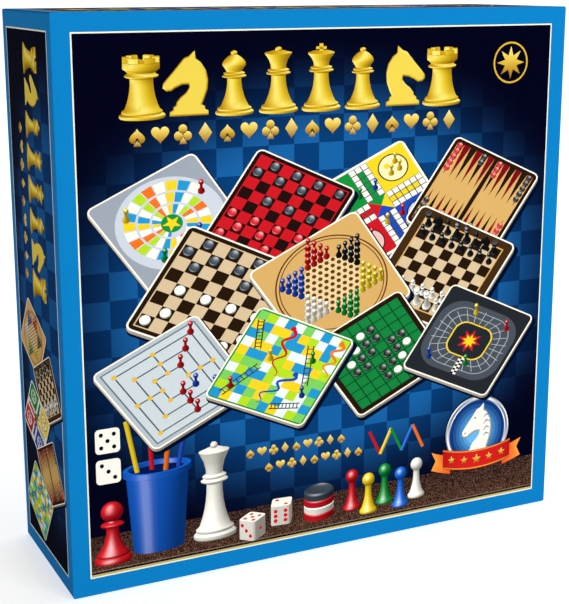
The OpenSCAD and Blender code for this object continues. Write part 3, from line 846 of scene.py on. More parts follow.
def all_designs():
    """Every design by its name."""
    return {
        "chess": chess_board(),
        "draughts": draughts_board(DEEP_BROWN, MAPLE, IVORY, SLATE, ((0, 1, 3), (5, 6, 7))),
        "red_draughts": draughts_board((30, 16, 14), SCARLET, SCARLET, SLATE, ((0, 1, 2), (4, 6, 7))),
        "star": star_board(),
        "cross": cross_board(),
        "points": point_board(),
        "mill": mill_board(),
        "snakes": snake_board(),
        "lanes": lane_board(),
        "goose": goose_board(),
        "discs": disc_board(),
    }


# Pictures on the printed wrap

GOLD_PALE = (240, 222, 134)
GOLD_FULL = (212, 172, 48)
GOLD_DEEP = (138, 92, 24)
DULL_GOLD = (186, 168, 104)
CHEQUER_BRIGHT = (22, 91, 154)
CHEQUER_DIM = (8, 57, 110)
CUP_BLUE = (22, 92, 196)
CUP_INSIDE = (4, 22, 74)
SHADOW = (2, 12, 38)
DICE_RED = (206, 22, 30)
# Profile of a dice cup, in parts of its height
CUP = [(0, 0), (0.3, 0), (0.31, 0.02), (0.375, 0.92), (0.41, 0.93)]
CUP += [(0.41, 1), (0.35, 1), (0.28, 0.1), (0, 0.1)]
SUITS = ("spade", "heart", "club", "diamond")


def gilt(outline):
    """Gold colours for a shape's corners, palest at its top."""
    y = np.asarray(outline)[:, 1]
    share = (y - y.min()) / max(np.ptp(y), 1e-6)
    return mix(mix(GOLD_DEEP, GOLD_FULL, np.minimum(share * 2, 1)), GOLD_PALE, np.maximum(share * 2 - 1, 0))


def run_of(at, turn, pitch, count):
    """Places along a line from a point at an angle."""
    a = math.radians(turn)
    along = np.array([math.cos(a), math.sin(a)])
    return [np.array(at, float) + along * pitch * (i + 0.5) for i in range(count)]


def gold_men(press, at, turn, height, pitch, count=8, stout=1.62):
    """A row of gold chess men."""
    first = (8 - count) // 2
    for i, spot in enumerate(run_of(at, turn, pitch, count)):
        kind = BACK_ROW[first + i]
        tall = height * (1 if kind == "king" else 0.6 + 2 * MEN[kind])
        if kind == "knight":
            outline = knight_outline() * tall * (0.77 * stout, 1.04)
            outline = outline if i < count / 2 else (outline * (-1, 1))[::-1]
            press.picture(puffed(outline, height * 0.035, height * 0.1), View(spot, rise=90, roll=turn), foil)
        else:
            shape = scaled(man(kind, tall, 24, grand_profile), (stout, stout, 1))
            press.picture(shape, View(spot, rise=7, roll=turn), foil)


def gold_suits(press, at, turn, size, pitch, count):
    """A row of gold card suits."""
    for i, (x, y) in enumerate(run_of(at, turn, pitch, count)):
        for outline in suit(SUITS[i % 4], size):
            press.fill(moved(outline, x, y, turn), gilt(outline), 4)


def panel(press, low, high, face, look, lit=1.0, glow_at=0.5, glow_wide=0.57):
    """The dark chequered panel of a printed face, which glows in its middle, and the line round it."""
    (x0, y0), (x1, y1), (w, h) = low, high, face
    line = look.line / MM
    press.fill(oblong(x0, y0, x1, y1), CREAM)
    x0, y0, x1, y1 = x0 + line, y0 + line, x1 - line, y1 - line
    press.fill(oblong(x0, y0, x1, y1), NAVY, 1)
    # Patches to a side of each square, for a glow that runs smoothly through it
    fine = 3
    cell = look.cell / MM
    nx, ny = round((x1 - x0) / cell) * fine, round((y1 - y0) / cell) * fine
    i, j = (a.ravel() for a in np.meshgrid(np.arange(nx), np.arange(ny)))
    step = np.array([(0, 0), (1, 0), (1, 1), (0, 1)])
    x = x0 + (i[:, None] + step[:, 0]) * (x1 - x0) / nx
    y = y0 + (j[:, None] + step[:, 1]) * (y1 - y0) / ny
    glow_tall, rim, softness = 0.45, 1.02, 0.44
    reach = np.hypot((x / w - glow_at) / glow_wide, (y / h - 0.5) / glow_tall)
    fall = np.clip((rim - reach) / softness, 0, 1)
    glow = lit * fall**2 * (3 - 2 * fall)
    odd = ((i // fine + j // fine) % 2)[:, None, None]
    tones = np.where(odd, mix(NAVY, CHEQUER_BRIGHT, glow), mix(NAVY, CHEQUER_DIM, glow))
    press.patches(np.stack([x, y], 2), tones, 2)


def board_group(press, designs, places):
    """Tilted boards with their pieces, as (design, x, y, side, spin, level)."""
    rise = 52
    thick, corner, margin = 0.035, 0.06, 0.015
    inner = 0.5 - margin
    blank = round_oblong(-0.5, -0.5, 0.5, 0.5, corner, 5)
    ground = round_oblong(-inner, -inner, inner, inner, corner - margin, 5)
    # Layers of a board's print, in layers of the press, and the one that the pieces stand on
    layer, floor = 0.4, 14
    for name, x, y, side, spin, level in places:
        shade = View((x + side * 0.02, y - side * 0.035), side * 1.03, spin, rise, level=level)
        press.picture(sheet(blank), shade, matt(SHADOW), -2)
        view = View((x, y), side, spin, rise, level=level)
        press.picture(slab(blank, thick), view, plastic(RIM, 0), 0, (0, 0, -thick))
        press.picture(sheet(ground), view, matt(designs[name].ground), layer)
        for outline, colour, lift in designs[name].prints:
            press.picture(sheet(outline), view, matt(colour), (lift + 1) * layer)
        for shape, place, ink in designs[name].stands:
            press.picture(shape, view, ink, floor * layer, place)


def pip_places(value):
    """Places of a die's pips, in steps from the middle."""
    spots = [(0, 0)] if value % 2 else []
    for least, pair in ((2, (-1, 1)), (4, (1, 1)), (6, (-1, 0))):
        if value >= least:
            spots += [pair, (-pair[0], -pair[1])]
    return spots


def pictured_die(press, view, size, values):
    """A die that shows its top, front and right."""
    half, pip, pip_step = size / 2, size * 0.1, size * 0.25
    body = slab(round_oblong(-half, -half, half, half, size * 0.16, 3), size)
    press.picture(body, view, plastic(IVORY))
    x, y, z = np.eye(3)
    for value, (out, across, up) in zip(values, ((z, x, y), (-y, x, z), (x, y, z)), strict=True):
        turn = np.array([across, up, out])
        for px, py in pip_places(value):
            points, normals, faces = sheet(disc(px * pip_step, py * pip_step, pip, 14))
            spot = (points @ turn + out * half + z * half, normals @ turn, faces)
            press.picture(spot, view, matt(DICE_RED), 1)


def pip_tile(press, x, y, size, value):
    """A white tile with pips."""
    half, pip, pip_step = size / 2, size * 0.085, size * 0.26
    press.fill(round_oblong(x, y, x + size, y + size, size * 0.16), IVORY, 4)
    for px, py in pip_places(value):
        press.fill(disc(x + half + px * pip_step, y + half + py * pip_step, pip, 16), NAVY, 5)


def playing_pieces(press, floor):
    """A cup of sticks and a row of larger pieces that stand on the dark floor."""

    def view(x, spin=0, level=0, lower=0, rise=12):
        return View((x, floor - lower), 1, spin, rise, level=level)

    cup, cup_h = view(43), 42
    press.picture(scaled(turned(CUP, 36), cup_h), cup, plastic(CUP_BLUE, 0.4, 0.16))
    press.picture(sheet(disc(0, 0, 0.355 * cup_h, 36)), cup, matt(CUP_INSIDE), 0, (0, 0, 0.95 * cup_h))
    # Sticks in the cup, with their place, how far they lean and how high they reach
    for x, y, lean, tall, colour in (
        (-6, 4, -9, 66, SUN), (-2, 6, -2, 70, SCARLET), (3, 5, 3, 62, LEAF), (7, 2, 9, 68, ROYAL),
        (1, -2, 5, 58, ORANGE),
    ):
        stick = rod((x * 0.6, y * 0.6, 6), (x + lean, y, tall), 1.3)
        press.picture(stick, cup, plastic(colour, 0.2))
    press.picture(shaped_man("queen", 50), view(72, level=1), plastic(IVORY, 0.6))
    press.picture(shaped_man("pawn", 31), view(20, lower=3), plastic(SCARLET, 0.6))
    for x, lower, spin, values in ((92, 4, -38, (5, 3, 1)), (108, -1, -6, (2, 6, 4))):
        pictured_die(press, view(x, spin, 1, lower, 24), 11, values)
    for i, colour in enumerate((SCARLET, IVORY, SCARLET, SLATE)):
        place = view(129, lower=-3.6 * i, level=1, rise=22)
        press.picture(counter(8.5, 28), place, plastic(colour, 0.6), i)
    for i, colour in enumerate((SCARLET, SUN, LEAF, AZURE, IVORY)):
        nearer = i % 2
        place = view(148 + 9.6 * i, level=1, lower=3.5 * nearer, rise=14)
        press.picture(grand_peg(22), place, plastic(colour, 0.6), 2 * nearer)
    # A zigzag of loose sticks above the pegs
    flat = View((0, 0), rise=90)
    low, high = floor + 27, floor + 40
    for i, colour in enumerate((SCARLET, SUN, LEAF, AZURE, ORANGE)):
        left, right = 158 + 6.4 * i, 158 + 6.4 * (i + 1)
        first, last = (low, high) if i % 2 else (high, low)
        press.picture(rod((left, first, 0), (right, last, 0), 1.0), flat, plastic(colour, 0.2), i * 0.3)


def shaped_man(kind, height):
    """A large smooth chess man, a little stouter than the small ones."""
    return scaled(man(kind, height, 32, grand_profile), (1.1, 1.1, 1))


def strip(first, second):
    """Corners of the patches between two lines of points, or the colours of those corners."""
    return np.stack([first[:-1], first[1:], second[1:], second[:-1]], 1)


def ribbon(press, x, y, reach):
    """A red ribbon with notched tails and five stars, which rises towards its ends."""
    across = np.linspace(-1, 1, 25)
    sag = 5.5
    tail_low, tail_high, notch = -7.6, 2.4, 2.6
    half, hem = 5.4, (4.5, 5.0)

    def spine(at):
        return np.stack([x + reach * at, y + sag * at**2], 1)

    def band(low, high, colour, dark, lift):
        at = across[3:22]
        line, tone = spine(at), mix(colour, dark, np.abs(at) ** 3)
        press.patches(strip(line + (0, low), line + (0, high)), strip(tone, tone), lift, over=True)

    for side in (-1, 1):
        at = side * across[:6]
        line = spine(at)
        inward = line[0] + (side * notch, -notch)
        rim = np.concatenate([line + (0, tail_low), (line + (0, tail_high))[::-1], [inward]])[::side]
        away = np.concatenate([np.abs(at), np.abs(at[::-1]), [1]])[::side]
        press.fill(rim, mix((214, 56, 24), (250, 156, 60), away**3), over=True)
    band(-half, half, (206, 30, 30), (120, 10, 16), 1)
    band(hem[0], hem[1], GOLD_FULL, GOLD_DEEP, 2)
    band(-hem[1], -hem[0], GOLD_FULL, GOLD_DEEP, 2)
    for i, (star_x, star_y) in enumerate(spine((np.arange(5) - 2) * 0.28)):
        mark = star(star_x, star_y, 2.9 if i == 2 else 2.3)
        press.fill(mark, gilt(mark), 3, over=True)


def silver_ring(press, x, y, r):
    """A ring of polished silver round a ground that glows towards its middle."""
    press.fill(disc(x, y, r + 0.7, 56), NAVY, 3)
    turn = np.arange(65) * math.tau / 64
    shine = 0.5 + 0.5 * np.sin(turn * 3 + 0.6)
    for lift, outer, inner, low, high in (
        (4, r, r * 0.87, (90, 98, 108), (246, 248, 252)),
        (5, r * 0.965, r * 0.9, (236, 240, 246), (104, 112, 124)),
    ):
        edges = [np.stack([x + q * np.cos(turn), y + q * np.sin(turn)], 1) for q in (outer, inner)]
        tone = mix(low, high, shine)
        press.patches(strip(*edges), strip(tone, tone), lift)
    rim, middle, steps = (14, 52, 116), (96, 176, 226), 6
    for i in range(steps):
        ground = disc(x, y, r * (0.87 - 0.1 * i), 48)
        press.fill(ground, mix(rim, middle, i / (steps - 1)), 6 + i * 0.4)


def ivory_knight(press, x, y, tall, rise):
    """A rounded knight with the lines of its mane, an eye and a nostril."""
    view = View((x, y), rise=90)
    body = puffed(knight_outline() * tall, tall * 0.04, rise)
    press.picture(body, view, plastic(IVORY, 0.6), 6)
    # Height of each lock of the mane at the back of the neck and at its front end
    mane = ((0.4, 0.38), (0.52, 0.48), (0.64, 0.6), (0.75, 0.73))
    locks = [[(0.22, back), (0.16, back + 0.03), (0.09, front)] for back, front in mane]
    marks = [stroke(np.array(lock) * tall, (0.4, 0.9, 0.3)) for lock in locks]
    marks += [disc(-0.09, 0.74, 0.022, 12) * tall, disc(-0.29, 0.48, 0.016, 10) * tall]
    for outline in marks:
        press.picture(sheet(outline), view, matt((112, 132, 160)), 10, (0, 0, rise))


def medallion(press, x, y, r):
    """A silver ring with a chess knight in it and a ribbon with stars across its foot."""
    silver_ring(press, x, y, r)
    ivory_knight(press, x + r * 0.05, y - r * 0.72, tall=r * 1.5, rise=r * 0.2)
    ribbon(press, x, y - r * 0.78, r * 1.42)


def speckled_floor(press, low, high, count):
    """The brown floor at the foot of the front, with fixed grains."""
    (x0, y0), (x1, y1) = low, high
    near, far = (66, 42, 28), (14, 10, 14)
    steps = np.linspace(y0, y1, 6)
    for a, b in zip(steps[:-1], steps[1:], strict=True):
        shades = [mix(near, far, ((q - y0) / (y1 - y0)) ** 2) for q in (a, a, b, b)]
        press.fill(oblong(x0, a, x1, b), np.array(shades), 3, 1.0)
    draw = np.random.default_rng(7)
    spots = draw.uniform((x0 + 0.5, y0 + 0.5), (x1 - 0.5, y1 - 1.5), (count, 2))
    sizes = draw.uniform(0.12, 0.3, count)
    fade = 1 - (spots[:, 1] - y0) / (y1 - y0)
    bright = draw.uniform(0, 1, count) ** 1.3 * (0.25 + 0.75 * fade)
    tones = mix((26, 16, 14), (206, 158, 120), bright)
    step = np.array([(-1, 0), (0, -0.7), (1, 0), (0, 0.7)])
    press.patches(spots[:, None] + sizes[:, None, None] * step, np.repeat(tones[:, None], 4, 1), 4)


def badge(press, x, y, r):
    """A gold ring with an eight-pointed star in it."""
    press.fill(disc(x, y, r, 48), GOLD_FULL, 3)
    press.fill(disc(x, y, r - 0.9, 48), NAVY, 4)
    mark = star(x, y, r - 2.2, 8, 0.46)
    press.fill(mark, gilt(mark), 5)


def print_front(press, designs, look):
    """The front: gold rows, eleven boards, a row of pieces and a medallion."""
    w, h = BOX_SIZE[0], BOX_SIZE[2]
    edge, line = look.border / MM, look.line / MM
    inner = edge + line
    panel(press, (edge, edge), (w - edge, h - edge), (w, h), look)
    speckled_floor(press, (inner, edge + 2.4), (w - inner, 29), 7000)
    for low, high, colour, lift in (
        (line, 2.4, NAVY, 3), (line, 1.7, DULL_GOLD, 4), (2.9, 3.1, (150, 138, 128), 5),
    ):
        press.fill(oblong(inner, edge + low, w - inner, edge + high), colour, lift)
    gold_men(press, (29, 223.5), turn=0, height=31, pitch=22.3)
    gold_suits(press, (32, 215.5), turn=0, size=9.2, pitch=10.9, count=16)
    badge(press, 237, 242.5, 10.4)
    # Rows of boards from the back: their height, side and first spin, then each design and its place
    places = []
    for row, (y, side, spin, *boards) in enumerate((
        (175, 60, 30, ("goose", 53), ("red_draughts", 108), ("cross", 163), ("points", 217)),
        (138, 67, -30, ("draughts", 74), ("star", 136), ("chess", 199)),
        (99, 60, 30, ("mill", 53), ("snakes", 108), ("discs", 163), ("lanes", 217)),
    )):
        for i, (name, x) in enumerate(boards):
            places.append((name, x, y, side, spin * (-1) ** i, 2 * row + i % 2))
    board_group(press, designs, places)
    pip_tile(press, 13, 69.5, 12, 5)
    pip_tile(press, 13, 54.5, 12, 3)
    for at in ((88, 57.5), (98, 49)):
        gold_suits(press, at, turn=0, size=5.4, pitch=6.3, count=9)
    playing_pieces(press, 18)
    medallion(press, 224, 48, 20)


def print_side(press, designs, look, low, high, order, glow_at):
    """A tall side: gold rows that read downward and a column of boards."""
    w, h = BOX_SIZE[1], BOX_SIZE[2]
    panel(press, low, high, (w, h), look, lit=0.9, glow_at=glow_at, glow_wide=0.9)
    middle = (low[0] + high[0]) / 2
    gold_men(press, (middle - 5, h - 14), turn=-90, height=25, pitch=15.1, stout=1.34)
    gold_suits(press, (middle - 16, h - 50), turn=-90, size=6.6, pitch=8.8, count=9)
    places = []
    for i, name in enumerate(order):
        side = 1 if i % 2 else -1
        places.append((name, middle + 11 * side, 114 - 21 * i, 36, 30 * side, i))
    board_group(press, designs, places)


def print_end(press, designs, look, low, high, order):
    """The top or the foot: a gold row and two boards."""
    w, h = BOX_SIZE[0], BOX_SIZE[1]
    panel(press, low, high, (w, h), look, lit=0.85)
    gold_men(press, (16, 34), turn=0, height=26, pitch=18.5)
    gold_suits(press, (20, 22), turn=0, size=7, pitch=9.4, count=15)
    places = [(name, 190 + 42 * i, 42, 38, 30 - 60 * i, i) for i, name in enumerate(order)]
    board_group(press, designs, places)


# Materials


class Shader:
    """A material's nodes, made one after another."""

    def __init__(self, name, roughness=0.5):
        self.material = bpy.data.materials.new(name)
        self.material.use_nodes = True
        self.tree = self.material.node_tree
        self.surface = self.tree.nodes["Principled BSDF"]
        self.feed(self.surface.inputs["Roughness"], roughness)

    def feed(self, socket, value):
        """Links or sets an input."""
        if isinstance(value, bpy.types.NodeSocket):
            self.tree.links.new(value, socket)
        elif socket.type == "RGBA" and len(value) == 3:
            socket.default_value = (*value, 1.0)
        else:
            socket.default_value = value

    def node(self, kind, settings=None, **inputs):
        """A node with its settings and its named inputs."""
        made = self.tree.nodes.new("ShaderNode" + kind)
        for key, value in (settings or {}).items():
            setattr(made, key, value)
        for key, value in inputs.items():
            self.feed(made.inputs[key.replace("_", " ")], value)
        return made

    def math(self, operation, *values):
        """The result of a math node."""
        made = self.node("Math", {"operation": operation})
        for socket, value in zip(made.inputs, values):
            self.feed(socket, value)
        return made.outputs[0]

    def place(self, stretch=(1.0, 1.0, 1.0)):
        """The place on the object, stretched."""
        at = self.node("TexCoord").outputs["Object"]
        return self.node("Mapping", Vector=at, Scale=stretch).outputs[0]

    def noise(self, scale, detail=3.0, stretch=(1.0, 1.0, 1.0)):
        """A cloudy value from 0 to 1."""
        return self.node("TexNoise", Vector=self.place(stretch), Scale=scale, Detail=detail).outputs[0]

    def between(self, value, low, high):
        """The value's share of the way from low to high, kept from 0 to 1."""
        return self.node("MapRange", Value=value, From_Min=low, From_Max=high).outputs[0]

    def blend(self, share, a, b):
        """A colour between a and b."""
        made = self.node("Mix", {"data_type": "RGBA"})
        for socket, value in ((made.inputs[0], share), (made.inputs[6], a), (made.inputs[7], b)):
            self.feed(socket, value)
        return made.outputs[2]

    def colour(self, value):
        """Sets the surface's colour."""
        self.feed(self.surface.inputs["Base Color"], value)

    def rough(self, value):
        """Sets the surface's roughness."""
        self.feed(self.surface.inputs["Roughness"], value)

    def bump(self, height, depth, strength=0.5):
        """A fine relief, with its depth in metres."""
        relief = self.node("Bump", Height=height, Distance=depth, Strength=strength)
        self.feed(self.surface.inputs["Normal"], relief.outputs[0])


def tinted(colour, share):
    """A colour made lighter, or darker where share is below one."""
    return tuple(min(1.0, c * share) for c in colour[:3])


def paper(name, colour, roughness, grain=900.0, swing=0.06, relief=0.00002):
    """Paper, card or board with a fine grain and slow clouds."""
    made = Shader(name)
    clouds = made.between(made.noise(22.0, 4.0), 0.35, 0.65)
    fibres = made.noise(grain, 2.0)
    tone = made.blend(clouds, tinted(colour, 1 - swing), tinted(colour, 1 + swing))
    made.colour(made.blend(made.between(fibres, 0.3, 0.75), tinted(colour, 1 - 2 * swing), tone))
    made.rough(made.math("MULTIPLY_ADD", fibres, 0.12, roughness - 0.06))
    made.bump(fibres, relief)
    return made


def flecked(name, colour, fleck, roughness):
    """Recycled card: grey with darker and paler flecks."""
    made = paper(name, colour, roughness, grain=700.0, swing=0.07, relief=0.00003)
    base = made.surface.inputs["Base Color"].links[0].from_socket
    dark = made.between(made.noise(1500.0, 0.0, (1.0, 1.0, 2.6)), 0.68, 0.74)
    pale = made.between(made.noise(1100.0, 0.0, (2.2, 1.0, 1.0)), 0.7, 0.76)
    made.colour(made.blend(pale, made.blend(dark, base, fleck), tinted(colour, 1.5)))
    return made


def moulded(name, colour, roughness=0.26):
    """Injection-moulded plastic."""
    made = Shader(name)
    clouds = made.noise(60.0, 3.0)
    made.colour(made.blend(clouds, tinted(colour, 0.94), tinted(colour, 1.05)))
    made.rough(made.math("MULTIPLY_ADD", made.noise(420.0, 2.0), 0.1, roughness - 0.04))
    made.bump(made.noise(900.0, 1.0), 0.00001, 0.3)
    return made


def dyed_wood(name, colour):
    """Dyed softwood with its grain along X."""
    made = Shader(name)
    grain = made.between(made.noise(2600.0, 3.0, (0.03, 1.0, 1.0)), 0.35, 0.68)
    pale = tuple(c * 0.7 + 0.12 for c in colour[:3])
    made.colour(made.blend(grain, tinted(colour, 0.8), pale))
    made.rough(made.math("MULTIPLY_ADD", grain, 0.12, 0.5))
    made.bump(grain, 0.00004)
    return made


def printed(name, roughness):
    """Ink under a thin varnish, in the colours that the mesh carries, with grains where its alpha falls."""
    made = Shader(name)
    ink = made.node("Attribute", {"attribute_name": "ink"})
    fine = made.noise(3000.0, 1.0)
    dark = made.blend(made.between(fine, 0.54, 0.4), ink.outputs["Color"], (0.006, 0.003, 0.003))
    grains = made.blend(made.between(fine, 0.54, 0.68), dark, (0.21, 0.1, 0.07))
    made.colour(made.blend(ink.outputs["Alpha"], grains, ink.outputs["Color"]))
    made.rough(made.math("MULTIPLY_ADD", made.noise(240.0, 3.0), 0.14, roughness - 0.07))
    made.feed(made.surface.inputs["Specular IOR Level"], 0.0005)
    return made


def wire(name):
    """Bright drawn steel."""
    made = Shader(name)
    made.colour(made.blend(made.noise(800.0, 2.0, (1.0, 1.0, 0.1)), (0.45, 0.46, 0.48), (0.7, 0.71, 0.73)))
    made.feed(made.surface.inputs["Metallic"], 1.0)
    made.rough(made.math("MULTIPLY_ADD", made.noise(1800.0, 2.0), 0.15, 0.22))
    return made


def two_faced(name, face, core):
    """A board: printed paper on its flat faces, greyboard at its edges."""
    made = Shader(name)
    normal = made.node("TexCoord").outputs["Normal"]
    facing = made.math("ABSOLUTE", made.node("SeparateXYZ", Vector=normal).outputs["Y"])
    fibres = made.noise(1600.0, 2.0, (0.3, 2.0, 0.3))
    edge = made.blend(fibres, tinted(core, 0.82), tinted(core, 1.12))
    made.colour(made.blend(made.math("GREATER_THAN", facing, 0.5), edge, face))
    made.rough(made.math("MULTIPLY_ADD", facing, -0.35, 0.8))
    made.bump(fibres, 0.00002, 0.4)
    return made


def dice_plastic(name, colour, pip, low, high, side, pitch):
    """White dice whose pips are coloured where the surface dips below a face."""
    made = moulded(name, colour, 0.22)
    base = made.surface.inputs["Base Color"].links[0].from_socket
    middle = (low + high) / 2
    dip, ball = 0.00003, side * 0.73
    at = made.node("SeparateXYZ", Vector=made.node("TexCoord").outputs["Object"])
    across = made.math("SUBTRACT", at.outputs["X"], low[0] + side / 2)
    # The place in each die from its own middle, which wraps along the row of dice
    x = made.math("WRAP", across, -pitch / 2, pitch / 2)
    y = made.math("SUBTRACT", at.outputs["Y"], middle[1])
    z = made.math("SUBTRACT", at.outputs["Z"], middle[2])
    local = made.node("CombineXYZ", X=x, Y=y, Z=z).outputs[0]
    reach = made.math("MAXIMUM", made.math("ABSOLUTE", x), made.math("ABSOLUTE", y))
    reach = made.math("MAXIMUM", reach, made.math("ABSOLUTE", z))
    dips = made.math("LESS_THAN", reach, side / 2 - dip)
    away = made.node("VectorMath", {"operation": "LENGTH"})
    made.feed(away.inputs[0], local)
    inside = made.math("LESS_THAN", away.outputs["Value"], ball)
    made.colour(made.blend(made.math("MULTIPLY", dips, inside), base, pip))
    return made


def dress(nodes, shader):
    """Gives CAD nodes a material."""
    for name in nodes:
        mesh = frame["nodes"][name].data
        mesh.materials.clear()
        mesh.materials.append(shader.material)


# Stage

# Camera fitted to the sharp corners of the box in the photograph, in metres and degrees
CAMERA_PLACE = (-0.28677, -0.58687, 0.28272)
CAMERA_TURN = (77.1219, 0.0417, -25.992)
CAMERA_LENS = 76.99
CAMERA_SHIFT = (-0.01268, -0.04247)


def lay_floor(look):
    """A wide floor that stays white in the shade and turns whiter far away."""
    floor = Shader("floor", 0.6)
    tone = floor.blend(floor.noise(3.0), tinted(look.floor, 0.985), look.floor)
    floor.colour(tone)
    floor.feed(floor.surface.inputs["Emission Color"], tone)
    away = floor.node("VectorMath", {"operation": "LENGTH"})
    floor.feed(away.inputs[0], floor.node("TexCoord").outputs["Object"])
    far = floor.between(away.outputs["Value"], 0.5, 1.8)
    floor.feed(floor.surface.inputs["Emission Strength"], floor.math("MULTIPLY_ADD", far, 0.45, look.lift))
    reach, below = 14.0, 0.0003
    mesh = bpy.data.meshes.new("floor")
    mesh.from_pydata([(x, y, 0) for x, y in square(reach)], [], [(0, 1, 2, 3)])
    mesh.materials.append(floor.material)
    ground = bpy.data.objects.new("floor", mesh)
    ground.location.z = -below
    bpy.context.scene.collection.objects.link(ground)


def hang_lamps(look):
    """Wide lamps before, above and behind the box."""
    for name, power, place, size, aim in (
        ("key_light", look.key, (0.9, -2.4, 0.8), 1.6, (0, 0, 0.13)),
        ("top_light", look.fill, (0.6, 0.1, 1.5), 1.0, (0, 0, 0.2)),
        ("back_light", look.fill * 0.7, (0.5, 1.3, 0.7), 1.2, (0, 0, 0.13)),
    ):
        light = bpy.data.lights.new(name, "AREA")
        light.energy, light.size = power, size
        lamp = bpy.data.objects.new(name, light)
        lamp.location = place
        lamp.rotation_euler = (Vector(aim) - Vector(place)).to_track_quat("-Z", "Y").to_euler()
        bpy.context.scene.collection.objects.link(lamp)


def light_surround(look):
    """An even light, weaker from above, with a backdrop that the camera sees as white."""
    world = bpy.data.worlds.new("surround")
    world.use_nodes = True
    tree = world.node_tree
    apart = tree.nodes.new("ShaderNodeSeparateXYZ")
    tree.links.new(tree.nodes.new("ShaderNodeTexCoord").outputs["Generated"], apart.inputs[0])
    fall = tree.nodes.new("ShaderNodeMapRange")
    tree.links.new(apart.outputs["Z"], fall.inputs["Value"])
    for socket, value in zip(fall.inputs[1:5], (0.02, 0.3, look.wall, look.sky), strict=True):
        socket.default_value = value
    seen = tree.nodes.new("ShaderNodeMath")
    seen.operation = "MAXIMUM"
    tree.links.new(fall.outputs[0], seen.inputs[0])
    tree.links.new(tree.nodes.new("ShaderNodeLightPath").outputs["Is Camera Ray"], seen.inputs[1])
    tree.links.new(seen.outputs[0], tree.nodes["Background"].inputs["Color"])
    bpy.context.scene.world = world


def place_camera():
    """The camera of the photograph."""
    lens = bpy.data.cameras.new("camera")
    lens.lens, lens.sensor_width = CAMERA_LENS, 36.0
    lens.shift_x, lens.shift_y = CAMERA_SHIFT
    lens.clip_start, lens.clip_end = 0.01, 50.0
    camera = bpy.data.objects.new("camera", lens)
    camera.location = CAMERA_PLACE
    camera.rotation_euler = [math.radians(a) for a in CAMERA_TURN]
    bpy.context.scene.collection.objects.link(camera)
    bpy.context.scene.camera = camera


# Settings that a user would change


def colour_property(name, description, colour):
    """A colour property."""
    return FloatVectorProperty(
        name=name, description=description, default=swatch(colour), min=0.0, max=1.0, size=3, subtype="COLOR"
    )


def length_property(name, description, default, low, high):
    """A length property, given in millimetres."""
    return FloatProperty(
        name=name, description=description, default=default * MM, min=low * MM, max=high * MM,
        subtype="DISTANCE", unit="LENGTH",
    )


def share_property(name, description, default):
    """A property from 0 to 1."""
    return FloatProperty(
        name=name, description=description, default=default, min=0.0, max=1.0, subtype="FACTOR"
    )


def power_property(name, description, default):
    """A property for the power of a lamp, in watts."""
    return FloatProperty(name=name, description=description, default=default, min=0.0, unit="POWER")


class GamesBoxWrap(bpy.types.PropertyGroup):
    """Looks of the wrapped trays."""

    lid: colour_property("Lid wrap", "Colour of the paper round the lid", (12, 122, 188))
    base: colour_property("Base wrap", "Colour of the paper round the base", (9, 84, 150))
    board: colour_property("Greyboard", "Colour of the board inside", (176, 168, 150))
    tape: colour_property("Corner stays", "Colour of the paper corner stays", (196, 160, 110))
    gloss: share_property("Wrap roughness", "Roughness of the varnished wrap", 0.42)


class GamesBoxPrint(bpy.types.PropertyGroup):
    """Layout of the printed faces."""

    border: length_property("Border", "Plain border round the printed panel of the front", 8.5, 4, 16)
    line: length_property("Line", "Width of the cream line round each panel", 0.65, 0.4, 2)
    cell: length_property("Chequer", "Side of a square of the panel's chequer", 13.3, 6, 26)
    gloss: share_property("Ink roughness", "Roughness of the printed ink", 0.42)


class GamesBoxCard(bpy.types.PropertyGroup):
    """Looks of the boards, the booklet and the card partition."""

    rim: colour_property("Board face", "Colour of the paper on the boards", RIM)
    core: colour_property("Board core", "Colour of a board's edge", (150, 144, 130))
    page: colour_property("Pages", "Colour of the booklet's pages", (240, 238, 230))
    cover: colour_property("Cover", "Colour of the booklet's cover", (232, 228, 214))
    partition: colour_property("Partition", "Colour of the partition card", (150, 142, 126))
    riser: colour_property("Riser", "Colour of the riser card", (136, 128, 112))
    margin: length_property("Board margin", "Plain rim round the print on a board", 3.4, 1, 7.5)
    corner: length_property("Board corner", "Corner radius of the boards", 8.0, 3, 14)


class GamesBoxPieces(bpy.types.PropertyGroup):
    """Colours of the playing pieces."""

    white: colour_property("White", "White playing pieces", (232, 230, 220))
    black: colour_property("Black", "Black playing pieces", (22, 22, 26))
    red: colour_property("Red", "Red playing pieces", (206, 24, 28))
    yellow: colour_property("Yellow", "Yellow playing pieces", (240, 200, 26))
    green: colour_property("Green", "Green playing pieces", (20, 146, 62))
    blue: colour_property("Blue", "Blue playing pieces and the dice cup", (18, 82, 178))
    pip: colour_property("Pips", "Pips of the dice", (190, 16, 26))


class GamesBoxStage(bpy.types.PropertyGroup):
    """Light and floor."""

    floor: colour_property("Floor", "Colour of the floor and the backdrop", (250, 250, 250))
    key: power_property("Key light", "Power of the light on the front", 44.0)
    fill: power_property("Fill light", "Power of the light from above", 6.0)
    sky: share_property("Sky", "Strength of the even light from above", 0.14)
    wall: share_property("Wall", "Strength of the even light from the sides", 0.23)
    lift: share_property("Floor lift", "How far the floor is kept white in the shade", 0.66)


class GamesBoxSettings(bpy.types.PropertyGroup):
    """All settings of the games box."""

    wrap: PointerProperty(name="Wrap", description="Looks of the trays", type=GamesBoxWrap)
    print: PointerProperty(name="Print", description="Layout of the print", type=GamesBoxPrint)
    card: PointerProperty(name="Card", description="Looks of the card pieces", type=GamesBoxCard)
    pieces: PointerProperty(name="Pieces", description="Colours of the pieces", type=GamesBoxPieces)
    stage: PointerProperty(name="Stage", description="Light and floor", type=GamesBoxStage)


# Operators


